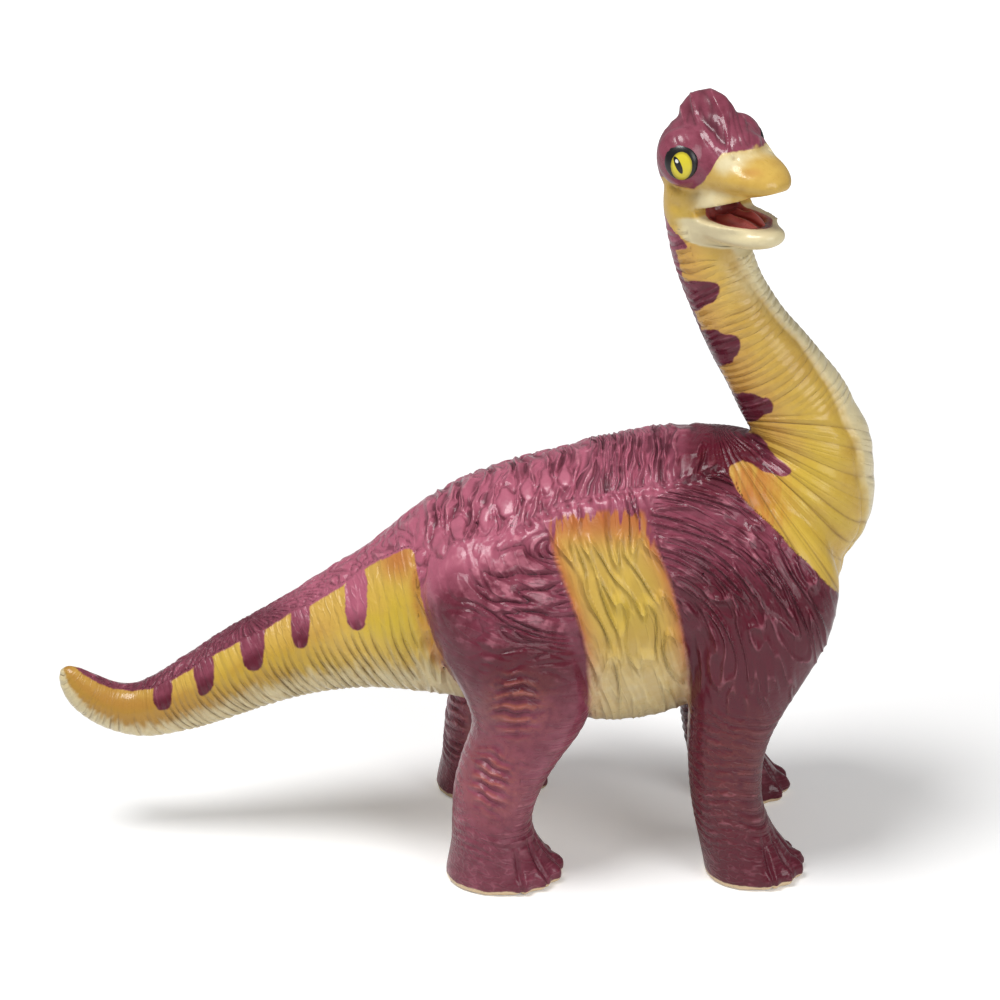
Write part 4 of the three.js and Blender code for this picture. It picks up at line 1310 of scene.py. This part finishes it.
def skin_material(looks):
    """Satin skin paint: plum and yellow areas with brushed or sprayed edges, red in the mouth, bare
    soles, and a bump from the drawn folds and the brushwork."""
    material, surface, shade = material_of("painted_skin")
    coarse, fine = shade.speckle(6.0, 3.0), shade.speckle(0.7, 3.0)
    brushed = shade.speckle(1.6, 4.0)
    # The drawn fold gives the bump, the painted shade in the creases and the painted highlight on
    # the tops.
    fold = drawn_fold(shade)
    # The tone: painted light and shade from its mark, with random lighter and darker patches of
    # paint.
    tone = shade.mark("tone") + (coarse - 0.5) * 0.3 + (brushed - 0.5) * 0.35
    plum = plum_paint(shade, looks, fold, tone, brushed)
    yellow = yellow_paint(shade, looks, fold, tone, brushed, coarse)

    streak = (brushed - 0.5) * 0.55 + (fine - 0.5) * 0.3
    edge = shade.mark("yellow") + streak * (1 - shade.mark("spray") * 0.75)
    colour = edge.between(-EDGE_MM, EDGE_MM).blend(plum, yellow)
    wet = (shade.mark("mouth") + (fine - 0.5) * 0.2).between(-0.08, 0.12)
    red = coarse.between(0.3, 0.7).blend(rgba(looks.mouth), rgba(looks.mouth_light))
    colour = wet.blend(colour, red)
    bare = (shade.mark("sole") + streak * 0.8).between(-SOLE_EDGE_MM, SOLE_EDGE_MM)
    colour = bare.blend(colour, rgba(looks.sole))

    roughness = looks.roughness + (fine - 0.5) * 0.16 + fold.between(0.5, 0.0) * 0.14 - wet * 0.12
    relief = fold * (shade.mark("lift") + 0.08) + (fine + brushed) * 0.06
    varnish = {"Specular IOR Level": 0.25, "Coat Weight": 0.3, "Coat Roughness": 0.12}
    finish(surface, shade, colour, roughness, relief, 1.0, 1.0, varnish)
    return material


def tongue_material(looks):
    """Wet-looking red paint, with painted shade in the groove."""
    material, surface, shade = material_of("tongue_paint")
    fine = shade.speckle(0.6, 3.0)
    # Painted shade in the groove.
    raised = shade.mark("fold").between(0.1, 0.8)
    colour = raised.blend(rgba(looks.mouth), rgba(looks.mouth_light))
    finish(surface, shade, colour, 0.3 + (fine - 0.5) * 0.15, fine, 0.1, 0.4, {"Coat Weight": 0.3})
    return material


def eye_material(looks):
    """Gloss paint seen square on: a black ring, a bright iris darker at its rim, and a leaning slit
    of a pupil with a white glint. The marks give the place on the eye in millimetres."""
    material, surface, shade = material_of("eye_paint")
    across, up = shade.mark("across"), shade.mark("up")
    fine = shade.speckle(0.5, 2.0)

    def oval(x, y, half_x, half_y, lean):
        """The distance from an oval's centre, which is 1 at its edge."""
        cos, sin = math.cos(lean), math.sin(lean)
        a = ((across - x) * cos + (up - y) * sin) * (1 / half_x)
        b = ((up - y) * cos - (across - x) * sin) * (1 / half_y)
        return shade.reckon("SQRT", a * a + b * b)

    iris = oval(*IRIS_MM)
    gold = iris.between(0.75, 1.0).blend(rgba(looks.iris), rgba(looks.iris_rim))
    colour = (iris + (fine - 0.5) * 0.05).between(1.03, 0.97).blend(EYE_BLACK, gold)
    colour = oval(*SLIT_MM).between(1.06, 0.94).blend(colour, EYE_BLACK)
    colour = oval(*GLINT_MM).between(1.1, 0.9).blend(colour, GLINT_WHITE)
    varnish = {"Coat Weight": 0.12, "Coat Roughness": 0.08}
    finish(surface, shade, colour, 0.3 + fine * 0.1, fine, 0.03, 0.3, varnish)
    return material


def floor_material(looks):
    """Plain pale card that keeps shadows; the camera alone sees it lifted to white."""
    material, surface, shade = material_of("floor_card")
    tree = shade.tree
    grain = shade.speckle(3.0, 2.0)
    lighter = [min(1.0, part * 1.01) for part in looks.floor]
    grain.blend(rgba(looks.floor), rgba(lighter)).into(surface, "Base Color")
    surface.inputs["Roughness"].default_value = 0.9
    surface.inputs["Specular IOR Level"].default_value = 0.1
    seen = shade.node("ShaderNodeLightPath", output="Is Camera Ray")
    place = shade.node("ShaderNodeTexCoord", output="Object")
    away = shade.node("ShaderNodeVectorMath", {"operation": "LENGTH"}, {0: place}, "Value")
    strength = seen * away.between(*FLOOR_FADE, looks.lift, 0.8)
    glow = shade.node("ShaderNodeEmission", {}, {"Color": rgba((1, 1, 1)), "Strength": strength})
    both = tree.nodes.new("ShaderNodeAddShader")
    tree.links.new(surface.outputs[0], both.inputs[0])
    tree.links.new(glow.socket, both.inputs[1])
    tree.links.new(both.outputs[0], tree.nodes["Material Output"].inputs["Surface"])
    return material


def tint(name, description, colour):
    """A colour property whose default was read off the reference picture."""
    return bpy.props.FloatVectorProperty(
        name=name, description=description, subtype="COLOR", size=3, min=0, max=1,
        default=linear(*colour),
    )


class DinosaurForm(bpy.types.PropertyGroup):
    grain: bpy.props.FloatProperty(
        name="Skin grain", default=0.57, min=0.3, max=3.0,
        description="Size of the cubes that the body is melted from, in millimetres",
    )
    head_grain: bpy.props.FloatProperty(
        name="Head grain", default=0.36, min=0.2, max=2.0,
        description="Size of the cubes that the head is melted from, in millimetres",
    )
    folds: bpy.props.FloatProperty(
        name="Fold depth", description="Depth of the moulded folds, as a share of the measured one",
        default=1.0, min=0.0, max=2.0, subtype="FACTOR",
    )
    passes: bpy.props.IntProperty(
        name="Easing", description="How often the body's melted skin is eased", default=7, min=1,
        max=30,
    )
    head_passes: bpy.props.IntProperty(
        name="Head easing", description="How often the head's melted skin is eased", default=4,
        min=1, max=30,
    )


class DinosaurLooks(bpy.types.PropertyGroup):
    # The plum's two ends: the dark one is painted shade down the legs and the shoulder's front, the
    # light one painted light over the back, and both give random patches.
    plum_dark_and_shaded: tint("Deep plum", "Main paint where it is thick", (90, 24, 40))
    plum_light_and_lit: tint("Light plum", "Main paint where it is thin", (178, 96, 118))
    # Dark wash and painted shade in the plum's creases.
    plum_crease_wash_and_shade: tint("Plum crease", "Dark wash in the creases of the plum", (62, 18, 30))
    # Dry-brushed paint and painted highlight on the plum's fold tops.
    plum_ridge_rub_and_highlight: tint("Plum ridge", "Rubbed tops of the plum folds", (206, 130, 146))
    rub: tint("Knee rub", "Earthy paint rubbed on the legs", (170, 96, 66))
    yellow_deep: tint("Deep yellow", "Tail paint", (176, 132, 58))
    yellow: tint("Yellow", "Belly and neck paint", (212, 176, 88))
    orange: tint("Orange", "Blend beside the plum", (188, 108, 60))
    green: tint("Lime", "Sprayed lime tinge", (204, 174, 58))
    pale: tint("Pale", "Cream of the belly and throat", (222, 208, 166))
    # Olive wash and painted shade in the yellow's creases.
    olive_crease_wash_and_shade: tint("Olive crease", "Wash in the creases of the yellow", (136, 98, 46))
    sole: tint("Sole", "Bare plastic of the soles", (222, 196, 158))
    mouth: tint("Mouth", "Inside of the mouth", (112, 30, 22))
    mouth_light: tint("Tongue", "Tongue and lighter parts of the mouth", (190, 96, 88))
    iris: tint("Iris", "Eye", (222, 206, 52))
    iris_rim: tint("Iris rim", "Rim of the iris", (176, 160, 40))
    floor: tint("Floor", "Floor under the figure", (246, 246, 246))
    roughness: bpy.props.FloatProperty(
        name="Roughness", description="Roughness of the skin paint", default=0.3, min=0.05, max=1.0,
        subtype="FACTOR",
    )
    lift: bpy.props.FloatProperty(
        name="Floor lift", description="How far the camera sees the floor lifted towards white",
        default=0.2, min=0.0, max=1.0, subtype="FACTOR",
    )
    key: bpy.props.FloatProperty(
        name="Key lamp", description="Power of the main lamp", default=4.2, min=0.0, unit="POWER"
    )
    fill: bpy.props.FloatProperty(
        name="Fill lamp", description="Power of the fill lamp", default=1.6, min=0.0, unit="POWER"
    )
    sky: bpy.props.FloatProperty(
        name="Sky", description="Strength of the light from all round", default=0.22, min=0.0,
        max=2.0,
    )


def the_skin_material():
    """The skin material, made once and shared by all the mouldings."""
    made = bpy.data.materials.get("painted_skin")
    return made or skin_material(bpy.context.scene.dinosaur_looks)


class DINOSAUR_OT_body(bpy.types.Operator):
    """Mould and paint the trunk, tail, neck and four legs from one melted skin"""

    bl_idname = "dinosaur.body"
    bl_label = "Body and Legs"

    def execute(self, context):
        form = context.scene.dinosaur_form
        grids = [carried(BODY_MM, *BODY_GRID), carried(NECK_MM, *NECK_GRID)]
        grids += head_grids(BODY_SKULL_RINGS)
        for rows in LEGS.values():
            grids += leg_grids(rows)
        points, cells = melt("body_form", grids, form.grain, form.passes)
        cells = outward(points, cells)
        seams = [(name, lambda at, rows=rows: leg_depth(rows, at)) for name, rows in LEGS.items()]
        seams += [
            ("head", lambda at: np.maximum(beyond(HEAD_JOINT, at), jaw_depth(at))),
            ("tail", lambda at: beyond(TAIL_JOINT, at)),
            ("neck", lambda at: beyond(NECK_JOINT, at)),
        ]
        points, owned, torso = divide(points, cells, seams)
        smooth = facing(points, cells)
        parts = bearings(points, smooth)
        rise, skin = folds_of(Places(points), parts)
        points = points + smooth * (form.folds * rise)[:, None]
        points[:, 2] = np.maximum(points[:, 2], 0)
        normals = facing(points, cells)
        marks = paint_of(Places(points), parts) | skin
        owned["torso"] = torso
        material = the_skin_material()
        for name, own in owned.items():
            if name != "head":
                slot = "body_yellow" if name in ("neck", "tail") else "body_plum"
                moulded(name, points, own, normals, marks, material)
        return {"FINISHED"}


class DINOSAUR_OT_head(bpy.types.Operator):
    """Mould and paint the head and the lower jaw, with the mouth hollowed out between them"""

    bl_idname = "dinosaur.head"
    bl_label = "Head and Jaw"

    def execute(self, context):
        form = context.scene.dinosaur_form
        local = [egg(*shape, 0.0, *SHELL_GRID) for shape in (CREST_MM, BRIDGE_MM)]
        for side in (-1, 1):
            flip = np.array([1, side, 1])
            local.append(egg(BROW_MM[0] * flip, BROW_MM[1], BROW_TURN * side, *SHELL_GRID))
        grids = head_grids(HEAD_SKULL_RINGS) + [headed(grid) for grid in local]
        grids.append(carried(NECK_MM, *NECK_GRID)[HEAD_NECK_START:])
        hollows = [headed(egg(*shape, 0.0, *HOLLOW_GRID)) for shape in (PALATE_MM, SCOOP_MM)]
        hollows.append(headed(carried(GAPE_MM, *GAPE_GRID)))
        points, cells = melt("head_form", grids, form.head_grain, form.head_passes, hollows)
        cells = outward(points, cells)
        seams = [("lower_jaw", jaw_depth), ("below", lambda at: -beyond(HEAD_JOINT, at))]
        points, owned, head = divide(points, cells, seams)
        smooth = facing(points, cells)
        parts = bearings(points, smooth)
        rise, skin = folds_of(Places(points), parts)
        more, high = head_relief(points, skin["fold"])
        calm = ease(mouth_depth(points), 0.1, -0.4)
        points = points + smooth * (form.folds * (rise + more) * calm)[:, None]
        normals = facing(points, cells)
        marks = paint_of(Places(points), parts) | skin
        marks["fold"] = high * calm + HEAD_SMOOTH * (1 - calm)
        material = the_skin_material()
        moulded("head", points, head, normals, marks, material)
        moulded("lower_jaw", points, owned["lower_jaw"], normals, marks, material)
        return {"FINISHED"}


class DINOSAUR_OT_tongue(bpy.types.Operator):
    """Make the tongue, a flattened tube along the mouth's floor with wavy edges and a groove"""

    bl_idname = "dinosaur.tongue"
    bl_label = "Tongue"

    def execute(self, context):
        grid = carried(TONGUE_MM, *TONGUE_GRID)
        y = grid[..., 1]
        crown = ease(grid[..., 2] - grid[..., 2].mean(axis=1, keepdims=True), 0.0, 0.4)
        groove = np.exp(-((y / TONGUE_GROOVE_MM) ** 2)) * crown
        run = np.linspace(0, 1, TONGUE_GRID[0])[:, None]
        waves = 0.7 + 0.3 * np.sin(TONGUE_WAVES * run + y)
        edges = np.exp(-(((np.abs(y) - TONGUE_EDGE_MM) / TONGUE_GROOVE_MM) ** 2)) * crown * waves
        grid[..., 2] += (0.4 * crown + 0.7 * edges) * np.sin(math.pi * run) - 0.5 * groove
        points, faces = closed([headed(grid)])
        paint = tongue_material(context.scene.dinosaur_looks)
        insert("tongue", points, faces, {"fold": (1 - groove).ravel()}, paint)
        return {"FINISHED"}


class DINOSAUR_OT_eyes(bpy.types.Operator):
    """Make the two glossy painted eyes, flattened balls set in the brows"""

    bl_idname = "dinosaur.eyes"
    bl_label = "Eyes"

    def execute(self, context):
        material = eye_material(context.scene.dinosaur_looks)
        for side, name in ((-1, "eye_right"), (1, "eye_left")):
            flip = np.array([1, side, 1])
            grid = egg(EYE_MM[0] * flip, EYE_MM[1], EYE_TURN * side, *EYE_GRID)
            points, faces = closed([headed(grid)])
            near = points if side < 0 else headed(unheaded(points) * np.array([1, -1, 1]))
            u, v = picture(near)
            marks = {"across": u - EYE_MIDDLE_PX[0], "up": EYE_MIDDLE_PX[1] - v}
            marks = {mark: values / PX_PER_MM for mark, values in marks.items()}
            insert(name, points, faces, marks, material)
        return {"FINISHED"}


def lay_floor(scene, looks):
    """The floor as a square sheet: a grid of equal steps both ways, just below the soles."""
    wide = FLOOR_CELLS + 1
    reach = np.linspace(-FLOOR_REACH, FLOOR_REACH, wide)
    across, deep = np.meshgrid(reach, reach)
    sheet = np.stack([across, deep, 0 * across - FLOOR_DROP], axis=-1).reshape(-1, 3)
    row, column = np.meshgrid(np.arange(FLOOR_CELLS), np.arange(FLOOR_CELLS), indexing="ij")
    here = (row * wide + column).ravel()
    faces = np.stack([here, here + 1, here + wide + 1, here + wide], axis=1)
    floor = bpy.data.objects.new("floor", mesh_of("floor", sheet, faces.tolist()))
    floor.data.materials.append(floor_material(looks))
    scene.collection.objects.link(floor)


def hang_lamps(scene, looks):
    """The soft round lamps, each turned to the figure."""
    for name, (place, size) in LAMPS.items():
        lamp = bpy.data.lights.new(name, "AREA")
        lamp.shape, lamp.size, lamp.energy = "DISK", size, getattr(looks, name)
        held = bpy.data.objects.new(name, lamp)
        held.location = place
        aim = mathutils.Vector(LAMP_AIM) - held.location
        held.rotation_euler = aim.to_track_quat("-Z", "Y").to_euler()
        scene.collection.objects.link(held)


def light_surround(scene, looks):
    """A faint even light from all round, which the camera alone sees as white."""
    world = bpy.data.worlds.new("surround")
    world.use_nodes = True
    surround = world.node_tree.nodes["Background"]
    seen = Shade(world.node_tree).node("ShaderNodeLightPath", output="Is Camera Ray")
    (seen * (1 - looks.sky) + looks.sky).into(surround, "Strength")
    surround.inputs["Color"].default_value = rgba((1, 1, 1))
    scene.world = world


def aim_camera(scene):
    """The camera, at the reference picture's distance and angle."""
    eye = bpy.data.cameras.new("camera")
    eye.sensor_width, eye.lens = SENSOR_MM, SENSOR_MM * VIEW_REACH_PX / (2 * HALF_PX)
    eye.clip_start, eye.clip_end = CLIP
    camera = bpy.data.objects.new("camera", eye)
    back = mathutils.Vector((0, -math.cos(VIEW_ELEVATION), math.sin(VIEW_ELEVATION)))
    target = mathutils.Vector((VIEW_TARGET_MM * MM).tolist())
    camera.location = target + back * (VIEW_DISTANCE_MM * MM)
    camera.rotation_euler = (-back).to_track_quat("-Z", "Y").to_euler()
    scene.collection.objects.link(camera)
    scene.camera = camera


class DINOSAUR_OT_stage(bpy.types.Operator):
    """Set up the pale floor, the soft lamps, the white surround and the camera"""

    bl_idname = "dinosaur.stage"
    bl_label = "Floor, Light and Camera"

    def execute(self, context):
        scene, looks = context.scene, context.scene.dinosaur_looks
        lay_floor(scene, looks)
        hang_lamps(scene, looks)
        light_surround(scene, looks)
        aim_camera(scene)
        scene.view_settings.view_transform = "Standard"
        return {"FINISHED"}


class DINOSAUR_PT_build(bpy.types.Panel):
    """The figure's sizes, paints and building steps"""

    bl_label = "Toy Dinosaur"
    bl_space_type = "VIEW_3D"
    bl_region_type = "UI"
    bl_category = "Dinosaur"

    def draw(self, context):
        for group in (context.scene.dinosaur_form, context.scene.dinosaur_looks):
            box = self.layout.box()
            for key in group.__annotations__:
                box.prop(group, key)
        for step in STEPS:
            self.layout.operator(step.bl_idname)


STEPS = (
    DINOSAUR_OT_body, DINOSAUR_OT_head, DINOSAUR_OT_tongue, DINOSAUR_OT_eyes, DINOSAUR_OT_stage,
)
CLASSES = (DinosaurForm, DinosaurLooks, *STEPS, DINOSAUR_PT_build)


def register():
    """Adds the properties, operators and panel."""
    for made in CLASSES:
        bpy.utils.register_class(made)
    bpy.types.Scene.dinosaur_form = bpy.props.PointerProperty(type=DinosaurForm)
    bpy.types.Scene.dinosaur_looks = bpy.props.PointerProperty(type=DinosaurLooks)


def unregister():
    """Takes them out again, last first."""
    del bpy.types.Scene.dinosaur_looks
    del bpy.types.Scene.dinosaur_form
    for made in reversed(CLASSES):
        bpy.utils.unregister_class(made)


def main():
    """Builds the figure and its stage in order."""
    register()
    bpy.ops.dinosaur.body()
    bpy.ops.dinosaur.head()
    bpy.ops.dinosaur.tongue()
    bpy.ops.dinosaur.eyes()
    bpy.ops.dinosaur.stage()
    bpy.context.view_layer.update()


if __name__ == "__main__":
    main()
